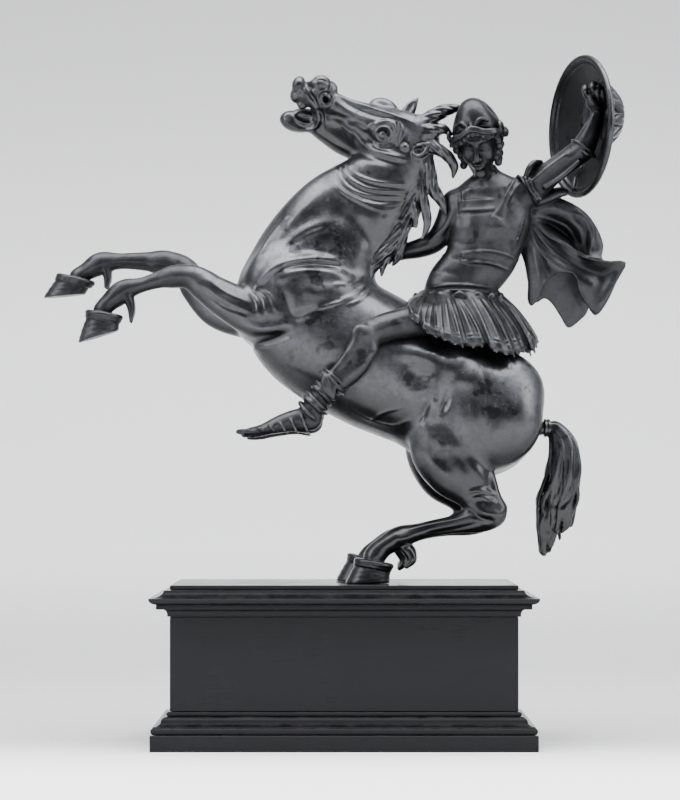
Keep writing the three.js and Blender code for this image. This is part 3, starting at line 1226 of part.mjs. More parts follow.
function cloak(clay) {
  const folds = clay.strokeMap(FOLDS);
  const [, ny, nz] = clay.size;
  const { from, to } = clay.window([128, -16, 306], [218, 52, 416]);
  for (const [outline, base, lean, depth] of [[CLOAK_NEAR, 2, 0.13, 1], [CLOAK_FAR, 6, 0.3, -0.25]]) {
    const rounded = smooth([...outline, outline[0]], 3).slice(0, -1);
    const middle = (i, k) => {
      const away = Math.hypot(clay.place(0, i) - 138, clay.place(2, k) - 398);
      return base + lean * away - depth * folds[i * nz + k];
    };
    for (let i = from[0]; i < to[0]; i++) {
      for (let k = from[2]; k < to[2]; k++) {
        const [x, z] = [clay.place(0, i), clay.place(2, k)];
        const edge = outlineDistance(x, z, rounded);
        const mid = middle(i, k);
        const thick = 2 + 0.006 * Math.hypot(x - 138, z - 398);
        const slope = Math.hypot(middle(i + 1, k) - middle(i - 1, k), middle(i, k + 1) - middle(i, k - 1));
        const lengthen = Math.hypot(1, slope / (2 * clay.cell));
        for (let j = from[1]; j < to[1]; j++) {
          const d = Math.abs(clay.place(1, j) - mid) / lengthen - thick;
          clay.mix((i * ny + j) * nz + k, Math.max(d, edge), 1.5, false);
        }
      }
    }
  }
  // Cloth gathered between the two layers
  clay.rope([[136, 4, 400, 5], [138, 8, 385, 5], [140, 14, 368, 4], [142, 20, 350, 3]], 3);
  clay.rope([[150, 8, 400, 4], [176, 12, 390, 4], [188, 20, 370, 4]], 3);
}

function rider() {
  const clay = new Clay([-84, -62, 224], [218, 62, 500], RIDER_CELL);
  torso(clay);
  riderLegs(clay);
  cloak(clay);
  riderArms(clay);
  skirt(clay);
  riderHead(clay);
  return clay;
}

/** Round dished shield, its hollow side to the left and front, with a boss outside. */
function shield() {
  const clay = new Clay([145, -58, 400], [218, 60, 522], SHIELD_CELL);
  const middle = new Frame([177.4, 0, 460.6], [0, 0, 1], [-0.938, -0.346, 0]);
  const radius = 52;
  const dish = 14;
  const { origin, v } = middle;
  clay.each(clay.window([145, -58, 400], [218, 60, 522]), (index, px, py, pz) => {
    const [x, y, z] = [px - origin.x, py - origin.y, pz - origin.z];
    const high = x * v.x + y * v.y;
    const out = Math.sqrt(Math.max(x * x + y * y + z * z - high * high, 0));
    const floor = -dish * (1 - Math.min(out / radius, 1) ** 2);
    clay.mix(index, Math.max(Math.abs(high - floor) - 1.8, out - radius), 0, false);
  });
  clay.rope(middle.rows(circle(32, (t) => [
    (radius - 1) * Math.cos(t), 0.3, (radius - 1) * Math.sin(t), 2.4,
  ])), 1, 1);
  // Boss with a ring of curls on the outer side
  clay.ball([9, -17, 0], [22, 13, 17], 3, false, middle);
  const curl = [[4, -29.6, 3.4], [11, -27, 3.8], [18, -19, 3], [21, -14, 2.2]];
  for (let k = 0; k < 10; k++) {
    const t = TAU * k / 10;
    clay.rope(middle.rows(curl.map(([r, deep, thick]) => [
      9 + 1.25 * r * Math.cos(t), deep, r * Math.sin(t), thick,
    ])), 0.8);
  }
  return clay;
}

// Solids

const FOOT_TOP = FOOT_HEIGHT;
const BASE_BOTTOM = FOOT_TOP + SEAM;
const BASE_TOP = BASE_BOTTOM + 2 * TORUS_RADIUS + OGEE_STEP + OGEE_HEIGHT + 2 * BEAD_RADIUS;
const DIE_BOTTOM = BASE_TOP + SEAM;
const DIE_TOP = DIE_BOTTOM + DIE_HEIGHT;
const CORNICE_BOTTOM = DIE_TOP + SEAM;
const CORNICE_HEIGHT = NECKING_HEIGHT + COVE_HEIGHT + FASCIA_HEIGHT + DRIP_HEIGHT + CYMA_HEIGHT;
const CORNICE_TOP = CORNICE_BOTTOM + CORNICE_HEIGHT;
const SLAB_BOTTOM = CORNICE_TOP + SEAM;
const SLAB_TOP = SLAB_BOTTOM + SLAB_HEIGHT;

function geometry(points, faces) {
  const g = new THREE.BufferGeometry();
  g.setAttribute('position', new THREE.Float32BufferAttribute(points, 3));
  g.setIndex(faces);
  return g;
}

/** A quarter turn of an ellipse between two rows of z and overhang, without its first row. */
function quarter([z0, o0], [z1, o1], hollow, steps = 5) {
  return loop(steps, (i) => {
    const t = (i + 1) / steps * Math.PI / 2;
    const [s, c] = hollow ? [1 - Math.cos(t), Math.sin(t)] : [Math.sin(t), 1 - Math.cos(t)];
    return [z0 + (z1 - z0) * s, o0 + (o1 - o0) * c];
  });
}

/** A moulded block: rows of z and overhang past the die, from the bottom up. */
function moulded(profile) {
  const points = profile.flatMap(([z, over]) => {
    const x = DIE_LENGTH / 2 + over;
    const y = DIE_DEPTH / 2 + over;
    return [-x, -y, z, x, -y, z, x, y, z, -x, y, z];
  });
  const faces = [0, 2, 1, 0, 3, 2];
  for (let r = 0; r < profile.length - 1; r++) {
    for (let k = 0; k < 4; k++) {
      const a = 4 * r + k;
      const b = 4 * r + (k + 1) % 4;
      faces.push(a, b, b + 4, a, b + 4, a + 4);
    }
  }
  const top = 4 * (profile.length - 1);
  faces.push(top, top + 1, top + 2, top, top + 2, top + 3);
  return geometry(points, faces);
}

function baseMoulding() {
  const inner = TORUS_OVERHANG - TORUS_RADIUS;
  const belly = BASE_BOTTOM + TORUS_RADIUS;
  const step = belly + TORUS_RADIUS;
  const ogee = step + OGEE_STEP;
  const turn = ogee + OGEE_HEIGHT / 2;
  const bead = ogee + OGEE_HEIGHT;
  const neck = BEAD_OVERHANG - BEAD_RADIUS;
  const middle = (OGEE_OVERHANG + neck) / 2;
  return moulded([
    [BASE_BOTTOM, inner],
    ...quarter([BASE_BOTTOM, inner], [belly, TORUS_OVERHANG], true),
    ...quarter([belly, TORUS_OVERHANG], [step, inner], false).slice(0, -1),
    [step, OGEE_OVERHANG],
    [ogee, OGEE_OVERHANG],
    ...quarter([ogee, OGEE_OVERHANG], [turn, middle], true, 4),
    ...quarter([turn, middle], [bead, neck], false, 4),
    ...quarter([bead, neck], [bead + BEAD_RADIUS, BEAD_OVERHANG], true, 3),
    ...quarter([bead + BEAD_RADIUS, BEAD_OVERHANG], [BASE_TOP, neck], false, 3),
  ]);
}

function cornice() {
  const cove = CORNICE_BOTTOM + NECKING_HEIGHT;
  const fascia = cove + COVE_HEIGHT;
  const drip = fascia + FASCIA_HEIGHT;
  const tip = drip + DRIP_HEIGHT;
  return moulded([
    [CORNICE_BOTTOM, NECKING_OVERHANG],
    [cove, NECKING_OVERHANG],
    ...quarter([cove, NECKING_OVERHANG], [fascia, COVE_OVERHANG], false),
    [fascia, FASCIA_OVERHANG],
    [drip, FASCIA_OVERHANG],
    ...quarter([drip, FASCIA_OVERHANG], [tip, DRIP_OVERHANG], true, 4),
    ...quarter([tip, DRIP_OVERHANG], [CORNICE_TOP, CYMA_OVERHANG], true),
  ]);
}

/** The clay's surface in few facets, set on the plinth in millimetres. */
function cast(clay, facets) {
  const { points, faces } = facet(skin(clay), facets);
  const foot = SLAB_TOP + SEAM - SCULPT_GROUND * UNIT;
  return geometry(points.map((v, i) => v * UNIT + (i % 3 === 2 ? foot : 0)), faces);
}

/** A closed mesh for joining and cutting. */
function solid(g) {
  return new wasm.Manifold(new wasm.Mesh({
    numProp: 3,
    vertProperties: Float32Array.from(g.attributes.position.array),
    triVerts: Uint32Array.from(g.index.array),
  }));
}

/** The same shape pushed out along its corners' normals. */
function grown(g, by) {
  const wide = g.clone();
  wide.computeVertexNormals();
  const { position, normal } = wide.attributes;
  for (let i = 0; i < position.array.length; i++) position.array[i] += by * normal.array[i];
  return wide;
}

/** What is left of a shape once its neighbours, with a seam round them, are taken away. */
function cleared(g, neighbours) {
  let rest = solid(g);
  for (const other of neighbours) {
    // The full seam, then less of it where narrow creases would turn it inside out
    for (const by of [SEAM, SEAM / 4, 0]) rest = rest.subtract(solid(grown(other, by)));
  }
  const { vertProperties, triVerts } = rest.getMesh();
  const welded = mergeVertices(geometry(Array.from(vertProperties), Array.from(triVerts)), 2e-3);
  const whole = largestBody({
    points: Array.from(welded.attributes.position.array),
    faces: dropFlat(Array.from(welded.index.array)),
  });
  return geometry(whole.points, whole.faces);
}

/** Faces with three different corners. */
function dropFlat(faces) {
  const kept = [];
  for (let f = 0; f < faces.length; f += 3) {
    const [a, b, c] = [faces[f], faces[f + 1], faces[f + 2]];
    if (a !== b && b !== c && c !== a) kept.push(a, b, c);
  }
  return kept;
}

const group = new THREE.Group();
group.name = 'equestrian_statuette';

function piece(name, shape, look) {
  const g = shape.toNonIndexed();
  g.computeVertexNormals();
  const mesh = new THREE.Mesh(g, new THREE.MeshStandardMaterial(look));
  mesh.name = name;
  group.add(mesh);
}

const horseClay = horse();
const riderClay = rider();
const shieldClay = shield();
const tailClay = tail();
riderClay.makeRoom(horseClay, SEAM);
riderClay.makeRoom(shieldClay, SEAM);
tailClay.makeRoom(horseClay, SEAM);

const horseShape = cast(horseClay, HORSE_FACETS);
const shieldShape = cast(shieldClay, SHIELD_FACETS);

piece('horse', horseShape, BRONZE);
piece('horse_tail', cleared(cast(tailClay, TAIL_FACETS), [horseShape]), BRONZE);
piece('rider', cleared(cast(riderClay, RIDER_FACETS), [horseShape, shieldShape]), BRONZE);
piece('shield', shieldShape, BRONZE);
piece('plinth_foot', moulded([[0, FOOT_OVERHANG], [FOOT_TOP, FOOT_OVERHANG]]), EBONISED);
piece('plinth_base_moulding', baseMoulding(), EBONISED);
piece('plinth_die', moulded([[DIE_BOTTOM, 0], [DIE_TOP, 0]]), EBONISED);
piece('plinth_cornice', cornice(), EBONISED);
piece('plinth_top_slab', moulded([[SLAB_BOTTOM, 0], [SLAB_TOP, 0]]), EBONISED);

export default group;
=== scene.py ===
# %% [markdown]
# # A rider on a rearing horse, in dark bronze on an ebonised plinth
#
# The object is a table bronze of about half a metre with the moulded wooden plinth it was
# made for. The CAD model already has every piece in its place, as solids with large flat
# facets. Here each cast is sculpted again with its fine relief, from the same limbs, locks
# and folds, and the plinth gets its true mouldings, its joinery and its finish.

# %% Load the frame
import json
import bpy
import numpy as np
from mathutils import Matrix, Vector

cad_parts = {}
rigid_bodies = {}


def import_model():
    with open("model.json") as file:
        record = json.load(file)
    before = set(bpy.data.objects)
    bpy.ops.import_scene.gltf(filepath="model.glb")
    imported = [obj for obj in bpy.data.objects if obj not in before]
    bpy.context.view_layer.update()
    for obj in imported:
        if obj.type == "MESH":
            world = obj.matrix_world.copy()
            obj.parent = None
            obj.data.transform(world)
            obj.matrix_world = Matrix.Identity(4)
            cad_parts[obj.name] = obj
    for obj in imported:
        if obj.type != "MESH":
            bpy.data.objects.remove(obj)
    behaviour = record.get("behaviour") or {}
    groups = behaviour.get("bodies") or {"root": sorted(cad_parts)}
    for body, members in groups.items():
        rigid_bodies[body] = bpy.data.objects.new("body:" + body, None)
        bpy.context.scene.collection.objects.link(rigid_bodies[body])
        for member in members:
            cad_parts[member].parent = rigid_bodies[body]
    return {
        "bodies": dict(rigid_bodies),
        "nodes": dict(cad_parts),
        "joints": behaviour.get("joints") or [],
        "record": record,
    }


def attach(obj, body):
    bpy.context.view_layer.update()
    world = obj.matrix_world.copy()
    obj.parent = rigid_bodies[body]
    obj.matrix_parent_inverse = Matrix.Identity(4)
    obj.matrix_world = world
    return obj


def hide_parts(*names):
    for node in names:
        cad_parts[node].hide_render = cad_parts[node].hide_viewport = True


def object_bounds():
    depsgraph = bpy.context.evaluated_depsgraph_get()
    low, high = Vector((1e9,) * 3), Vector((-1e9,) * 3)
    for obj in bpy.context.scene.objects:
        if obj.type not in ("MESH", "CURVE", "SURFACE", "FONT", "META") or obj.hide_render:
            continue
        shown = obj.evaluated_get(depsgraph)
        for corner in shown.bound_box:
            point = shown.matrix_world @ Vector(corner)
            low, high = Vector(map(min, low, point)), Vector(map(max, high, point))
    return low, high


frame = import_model()
cad_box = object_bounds()
MM = 0.001
print("CAD nodes:", ", ".join(sorted(frame["nodes"])))

# %% [markdown]
# The photograph was taken level, with a long lens, its horizon just above the plinth. A view
# camera keeps the plinth's edges upright by raising the lens instead of tilting the camera,
# and Blender's shift does the same.

# %% Camera
PHOTO_HEIGHT = 800
HORIZON_ROW = 483
FOCAL_LENGTH = 2485  # in the photograph's pixels
SENSOR = 36.0
camera_data = bpy.data.cameras.new("camera")
camera_data.sensor_width = SENSOR
camera_data.lens = FOCAL_LENGTH * SENSOR / PHOTO_HEIGHT
camera_data.shift_y = (HORIZON_ROW - PHOTO_HEIGHT / 2) / PHOTO_HEIGHT
camera_data.clip_end = 20
camera = bpy.data.objects.new("camera", camera_data)
camera.location = (-0.003, -1.860, 0.1937)
camera.rotation_euler = (np.pi / 2, 0, 0)
bpy.context.scene.collection.objects.link(camera)
bpy.context.scene.camera = camera
print("lens", round(camera_data.lens, 1), "mm, shift", round(camera_data.shift_y, 3))

# %% [markdown]
# ## Sculpting with distances
#
# Bronze casts have no straight edges to extrude: their forms melt into each other. A field of
# distances suits them. The block of clay is a grid of samples, each holding the distance to
# the surface, negative inside. Joining two forms is a minimum with a little fillet, and
# carving is the same with the sign turned. The unit is the millimetre, X runs along the
# horse, Y to its far side and Z up, with the soles of the hooves at Z = 120.

# %% The clay
OUTSIDE = 30.0  # distance that stands for anywhere far from the surface
CELL = 0.85  # between the samples of the horse
FINE_CELL = 0.75  # and of the tail, the rider and the shield


class Clay:
    """A box of samples of a signed distance."""

    def __init__(self, low, high, cell):
        self.low = np.array(low, np.float32)
        self.cell = cell
        self.shape = tuple(int(np.ceil((h - l) / cell)) + 1 for l, h in zip(low, high))
        self.d = np.full(self.shape, OUTSIDE, np.float32)

    def window(self, low, high):
        """Slices of the samples inside a box, or None."""
        first = [max(0, int(np.floor((l - o) / self.cell))) for l, o in zip(low, self.low)]
        last = [min(n, int(np.ceil((h - o) / self.cell)) + 1)
                for h, o, n in zip(high, self.low, self.shape)]
        if any(b <= a for a, b in zip(first, last)):
            return None
        return tuple(slice(a, b) for a, b in zip(first, last))

    def whole(self):
        """Slices of all the samples."""
        return tuple(slice(0, n) for n in self.shape)

    def axis(self, k, window):
        """Places of a window's samples along one axis."""
        return self.low[k] + self.cell * np.arange(window[k].start, window[k].stop, dtype=np.float32)

    def axes(self, window, origin=(0, 0, 0)):
        """x, y and z of a window, measured from an origin, ready to broadcast."""
        x, y, z = (self.axis(k, window) - np.float32(origin[k]) for k in range(3))
        return x[:, None, None], y[None, :, None], z[None, None, :]

    def join(self, window, new, blend, cut=False):
        """Adds a form to a window, or cuts it away, with a fillet."""
        old = self.d[window]
        new = -new if cut else new
        fillet = 0.0
        if blend > 0:
            fillet = np.maximum(blend - np.abs(old - new), 0) ** 2 / (4 * blend)
        self.d[window] = np.maximum(old, new) + fillet if cut else np.minimum(old, new) - fillet


def smooth(rows, steps=6):
    """Rows of numbers carried on a Catmull-Rom curve through the given rows."""
    p = np.array(rows, float)
    if len(p) == 2:
        return p[0] + (p[1] - p[0]) * np.linspace(0, 1, steps + 1)[:, None]
    q = np.vstack([2 * p[0] - p[1], p, 2 * p[-1] - p[-2]])
    t = (np.arange(steps) / steps)[:, None]
    out = []
    for a, b, c, d in zip(q, q[1:], q[2:], q[3:]):
        bend = 2 * a - 5 * b + 4 * c - d
        twist = 3 * b - a - 3 * c + d
        out.append(0.5 * (2 * b + (c - a) * t + bend * t * t + twist * t ** 3))
    return np.vstack(out + [p[-1:]])


def ellipse(u, v, a, b):
    """Signed distance to an ellipse, near enough for sculpting."""
    q = np.sqrt((u / a) ** 2 + (v / b) ** 2)
    g = np.sqrt((u / (a * a)) ** 2 + (v / (b * b)) ** 2)
    return np.where(q < 1e-3, -np.minimum(a, b), q * (q - 1) / np.maximum(g, 1e-6))


print("clay ready")

# %% [markdown]
# A horse's leg or an arm is a chain of oval sections along a bent line. `sweep` takes them as
# they are read off the front view, `limb` takes them in a frame of its own, such as that of
# a head. Where two stretches meet in a bend, both have a say, weighted by nearness, so
# no crease is left inside a knee.

# %% Limbs, balls and ropes


def spine(p, x, z, softness):
    """Distance from a spine in its plane, half height, middle and half depth there."""
    total, sums = 1e-30, [0, 0, 0, 0]
    for a, b in zip(p[:-1], p[1:]):
        dx, dz = b[0] - a[0], b[1] - a[1]
        t = np.clip(((x - a[0]) * dx + (z - a[1]) * dz) / max(dx * dx + dz * dz, 1e-9), 0, 1)
        d = np.sqrt((x - a[0] - t * dx) ** 2 + (z - a[1] - t * dz) ** 2)
        r = a[2] + t * (b[2] - a[2])
        weight = np.exp(np.clip((r - d) / softness, -60, 60))
        total = total + weight
        here = (d, r, a[3] + t * (b[3] - a[3]), a[4] + t * (b[4] - a[4]))
        sums = [s + weight * v for s, v in zip(sums, here)]
    return [s / total for s in sums]


def sweep(clay, rows, blend):
    """A limb seen from the front: rows of x, z, half height, y, half depth."""
    p = smooth(rows)
    p[:, [2, 4]] = np.maximum(p[:, [2, 4]], 0.2)
    pad = blend + 3 * clay.cell
    low = [(p[:, 0] - p[:, 2]).min(), (p[:, 3] - p[:, 4]).min(), (p[:, 1] - p[:, 2]).min()]
    high = [(p[:, 0] + p[:, 2]).max(), (p[:, 3] + p[:, 4]).max(), (p[:, 1] + p[:, 2]).max()]
    w = clay.window([v - pad for v in low], [v + pad for v in high])
    if w is None:
        return
    x, y, z = clay.axis(0, w)[:, None], clay.axis(1, w), clay.axis(2, w)[None, :]
    away, r, mid, deep = (v.astype(np.float32)[:, None, :] for v in spine(p, x, z, 2.5))
    clay.join(w, ellipse(away, y[None, :, None] - mid, r, deep), blend)


class Frame:
    """A local frame: a point is the origin plus u, v and w along its three axes."""

    def __init__(self, origin, along, up, roll=0.0):
        u = np.array(along, float) / np.linalg.norm(along)
        v = np.array(up, float)
        v = v - u * (v @ u)
        v /= np.linalg.norm(v)
        w = np.cross(v, u)
        c, s = np.cos(np.radians(roll)), np.sin(np.radians(roll))
        self.origin = np.array(origin, float)
        self.axes = np.stack([u, c * v + s * w, c * w - s * v], 1)

    def at(self, u, v, w):
        """The place in the object of a place in the frame."""
        return self.origin + self.axes @ np.array([u, v, w], float)

    def rows(self, rows):
        """Rows whose first three numbers are carried out of the frame."""
        return [[*self.at(*row[:3]), *row[3:]] for row in rows]


def limb(clay, frame, rows, blend, cut=False):
    """A limb in a frame: rows of u, v, half height along v, w, half width along w."""
    p = smooth(rows, 5)
    p[:, [2, 4]] = np.maximum(p[:, [2, 4]], 0.2)
    pad = blend + 3 * clay.cell
    centres = np.array([frame.at(r[0], r[1], r[3]) for r in p])
    reach = np.maximum(p[:, 2], p[:, 4])[:, None]
    w = clay.window((centres - reach).min(0) - pad, (centres + reach).max(0) + pad)
    if w is None:
        return
    x, y, z = clay.axes(w, frame.origin)
    a = frame.axes.astype(np.float32)
    u, v, across = (x * a[0, k] + y * a[1, k] + z * a[2, k] for k in range(3))
    away, r, mid, deep = spine(p.astype(np.float32), u, v, 1.2)
    clay.join(w, ellipse(away, across - mid, r, deep), blend, cut)


WORLD = Frame((0, 0, 0), (1, 0, 0), (0, 0, 1))


def leaning(centre, degrees):
    """A frame at a place, its u sloping down to the right."""
    c, s = np.cos(np.radians(degrees)), np.sin(np.radians(degrees))
    return Frame(centre, (c, 0, -s), (s, 0, c))


def ball(clay, centre, radii, blend, cut=False, frame=WORLD):
    """An ellipsoid, its half axes along u, v and w of a frame, or along X, Z and Y."""
    radii = np.array([radii] * 3 if np.isscalar(radii) else radii, float)
    c = np.array(centre, float) if frame is WORLD else frame.at(*centre)
    reach = np.sqrt(((frame.axes * radii) ** 2).sum(1)) + blend + 3 * clay.cell
    w = clay.window(c - reach, c + reach)
    if w is None:
        return
    x, y, z = clay.axes(w, c)
    a = frame.axes.astype(np.float32)
    parts = [(x * a[0, k] + y * a[1, k] + z * a[2, k]) / np.float32(radii[k]) for k in range(3)]
    q = np.sqrt(sum(v * v for v in parts))
    slope = np.sqrt(sum((v / np.float32(r)) ** 2 for v, r in zip(parts, radii)))
    new = np.where(q < 1e-3, -radii.min(), q * (q - 1) / np.maximum(slope, 1e-6))
    clay.join(w, new.astype(np.float32), blend, cut)


def rope(clay, rows, blend, steps=5, cut=False):
    """A round rope through rows of x, y, z, radius."""
    p = smooth(rows, steps)
    p[:, 3] = np.maximum(p[:, 3], 0.15)
    pad = blend + 3 * clay.cell
    r = p[:, 3:4]
    whole = clay.window((p[:, :3] - r).min(0) - pad, (p[:, :3] + r).max(0) + pad)
    if whole is None:
        return
    near = np.full(tuple(s.stop - s.start for s in whole), OUTSIDE, np.float32)
    for a, b in zip(p[:-1], p[1:]):
        low = np.minimum(a[:3] - a[3], b[:3] - b[3]) - pad
        w = clay.window(low, np.maximum(a[:3] + a[3], b[:3] + b[3]) + pad)
        if w is None:
            continue
        part = tuple(slice(s.start - t.start, s.stop - t.start) for s, t in zip(w, whole))
        x, y, z = clay.axes(w, a[:3])
        v = (b[:3] - a[:3]).astype(np.float32)
        t = np.clip((x * v[0] + y * v[1] + z * v[2]) / max(float(v @ v), 1e-9), 0, 1)
        d = np.sqrt((x - t * v[0]) ** 2 + (y - t * v[1]) ** 2 + (z - t * v[2]) ** 2)
        near[part] = np.minimum(near[part], d - a[3] - t * (b[3] - a[3]))
    clay.join(whole, near, blend, cut)


def ring(n, make):
    """Rope rows all the way round: make gives one for each angle."""
    return [make(2 * np.pi * i / n) for i in range(n + 1)]


print("limbs, balls and ropes ready")

# %% [markdown]
# Muscles, veins and folds are shallow. They are drawn as strokes in the front view, like
# chasing on the cast: each has a height, a half width and a few points, and raises or lowers the
# skin of the flank under it. Both flanks get them, the far one more softly.

# %% Strokes in relief


def stroke_map(clay, strokes):
    """Heights over the front view from strokes: height, half width and points x, z."""
    x = clay.low[0] + clay.cell * np.arange(clay.shape[0], dtype=np.float32)[:, None]
    z = clay.low[2] + clay.cell * np.arange(clay.shape[2], dtype=np.float32)[None, :]
    heights = np.zeros((clay.shape[0], clay.shape[2]), np.float32)
    for height, width, points in strokes:
        p = smooth(points, 5)
        low, high = p.min(0) - 3 * width, p.max(0) + 3 * width
        i0, i1 = np.searchsorted(x[:, 0], [low[0], high[0]])
        j0, j1 = np.searchsorted(z[0], [low[1], high[1]])
        if i1 <= i0 or j1 <= j0:
            continue
        xs, zs = x[i0:i1], z[:, j0:j1]
        square = np.full((i1 - i0, j1 - j0), 1e9, np.float32)
        along = np.zeros_like(square)
        for i, (a, b) in enumerate(zip(p[:-1], p[1:])):
            dx, dz = b - a
            t = np.clip(((xs - a[0]) * dx + (zs - a[1]) * dz) / max(dx * dx + dz * dz, 1e-9), 0, 1)
            q = (xs - a[0] - t * dx) ** 2 + (zs - a[1] - t * dz) ** 2
            along = np.where(q < square, (i + t) / (len(p) - 1), along)
            square = np.minimum(square, q)
        taper = np.sin(np.pi * (0.08 + 0.84 * along)) ** 0.6
        heights[i0:i1, j0:j1] += height * taper * np.exp(-square / (2 * width * width))
    return heights


def relief(clay, strokes, far=0.6):
    """Raises the near flank by the strokes and the far one by a share of them."""
    heights = stroke_map(clay, strokes)[:, None, :]
    y = clay.low[1] + clay.cell * np.arange(clay.shape[1], dtype=np.float32)
    near = 1 / (1 + np.exp(np.clip(y / 4, -30, 30)))
    clay.d -= heights * (near + far * (1 - near))[None, :, None]


def lock(clay, path, seed):
    """A lock of hair: strands wound loosely round a path of x, y, z, radius."""
    strands, twist = 6, 0.8
    p = smooth(path, 6)
    along = np.gradient(p[:, :3], axis=0)
    along /= np.maximum(np.linalg.norm(along, axis=1, keepdims=True), 1e-9)
    a = np.cross(along, [0, 1.0, 0.02])
    a /= np.maximum(np.linalg.norm(a, axis=1, keepdims=True), 1e-9)
    b = np.cross(along, a)
    r = p[:, 3:4]
    for i in range(strands):
        turn = 2 * np.pi * (i / strands + seed + twist * np.linspace(0, 1, len(p)))[:, None]
        centre = p[:, :3] + r * 0.52 * (np.cos(turn) * a + np.sin(turn) * b)
        rope(clay, np.hstack([centre, r * 0.36])[::2], 0.35, 2)


print("strokes and locks ready")

# %% [markdown]
# ## The horse
#
# Body, neck, legs and mane are one cast; the founder poured it hollow. The barrel tips back
# over the hocks and the neck turns the head to the near side. The main masses come first,
# then the muscles as strokes, and the head and the hair last, so that nothing softens them.

# %% Barrel, neck and hams
HEAD = Frame((55, -4, 452), (-0.956, 0, 0.292), (0.292, 0, 0.956), 35)

# Raised and sunk strokes on the flanks: height, half width and points x, z
MUSCLES = [
    # folds of the throat
    (1.1, 0.9, [(1, 433), (6, 425), (14, 420), (26, 416.5), (44, 415.5)]),
    (1.4, 1.0, [(-3, 431), (2, 422), (10, 415.5), (22, 411), (46, 410)]),
    (1.4, 1.0, [(-6, 430), (-2, 419), (6, 411), (20, 406.5), (44, 406)]),
    (1.3, 1.1, [(-8, 427), (-5, 414), (3, 407.5), (15, 402.5), (28, 400), (44, 402)]),
    (1.1, 1.2, [(-6, 415), (2, 408), (12, 402), (22, 398), (32, 396.5), (42, 399)]),
    (-1.8, 5.0, [(-6, 421), (10, 408), (30, 403), (46, 405)]),
    # long muscles of the neck
    (2.2, 5.0, [(-70, 352), (-52, 374), (-32, 396), (-12, 412)]),
    (2.2, 4.0, [(-58, 350), (-42, 368), (-24, 381), (-4, 384)]),
    (-1.5, 2.0, [(-44, 366), (-27, 377), (-8, 384)]),
    (-1.8, 5.0, [(-10, 396), (6, 388), (20, 372), (22, 356)]),
    (1.0, 1.2, [(-66, 360), (-56, 376), (-44, 390)]),
    # shoulder
    (2.3, 2.4, [(-66, 338), (-56, 349), (-40, 357), (-20, 360), (-4, 358)]),
    (-2.1, 1.6, [(-42, 352.5), (-25, 354.5), (-6, 354)]),
    (2.0, 3.0, [(-48, 345), (-30, 350), (-10, 349), (4, 346)]),
    (-1.8, 2.5, [(-45, 338), (-42, 326), (-36, 316), (-20, 320)]),
    (1.4, 4.0, [(-30, 338), (-18, 334), (0, 338)]),
    (1.0, 1.0, [(-18, 322), (-5, 326), (10, 331)]),
    (1.0, 1.0, [(-2, 329), (8, 333), (15, 339)]),
    (0.9, 0.9, [(3, 325), (12, 329), (19, 336)]),
    (0.9, 0.9, [(-6, 340), (6, 341), (14, 346)]),
    # folds behind the elbow
    (0.9, 0.9, [(-62, 337), (-54, 331), (-51, 322)]),
    (0.9, 0.9, [(-66, 336), (-59, 329), (-57, 319)]),
    (0.9, 0.9, [(-70, 335), (-64, 327), (-63, 318)]),
    (-2.8, 2.2, [(-76, 302), (-68, 297.5), (-56, 299), (-42, 303)]),
    (1.8, 3.0, [(-72, 309), (-60, 306), (-44, 309)]),
    # forearm
    (0.9, 1.4, [(-70, 326), (-86, 333), (-100, 343)]),
    (-0.9, 1.2, [(-72, 318), (-88, 324), (-101, 334)]),
    # flank and croup
    (2.4, 5.0, [(36, 291), (56, 289), (76, 281)]),
    (2.4, 7.0, [(84, 275), (92, 270), (102, 273)]),
    (-2.2, 6.0, [(48, 278), (54, 270), (56, 262)]),
    (2.0, 3.2, [(71, 280), (68, 262), (66, 248), (60, 236)]),
    (-2.4, 2.0, [(75, 259), (74, 253), (71, 246)]),
    (-2.1, 1.7, [(61, 252), (59, 247), (57, 241)]),
    (-1.5, 5.0, [(104, 262), (108, 246), (104, 232), (96, 222)]),
    (0.7, 0.9, [(6, 247), (20, 240), (36, 236), (48, 240)]),
    (0.6, 0.8, [(20, 240), (30, 246), (42, 249)]),
    # stifle and second thigh
    (2.1, 4.5, [(54, 236), (62, 229), (72, 226)]),
    (1.0, 4.0, [(64, 218), (76, 221), (88, 218), (95, 210), (99, 198)]),
    (-0.6, 2.4, [(84, 212), (88, 207), (90, 200)]),
    (1.1, 3.0, [(60, 222), (62, 212), (70, 203), (80, 196)]),
    # hock and cannon
    (1.2, 1.1, [(91, 187), (100, 188.5), (110, 186)]),
    (0.9, 0.9, [(93, 182), (101, 183.5), (111, 180)]),
    (1.4, 2.2, [(97, 177), (104, 172), (114, 171)]),
    (-1.0, 1.3, [(92, 174), (98, 169), (108, 166)]),
    (-1.0, 1.1, [(98, 164), (80, 160), (62, 157)]),
    (0.8, 1.0, [(96, 170), (80, 166.5), (60, 163), (48, 160)]),
    (1.2, 2.5, [(50, 156), (44, 153), (38, 155)]),
    (-0.9, 1.2, [(52, 149), (46, 147), (40, 148)]),
]


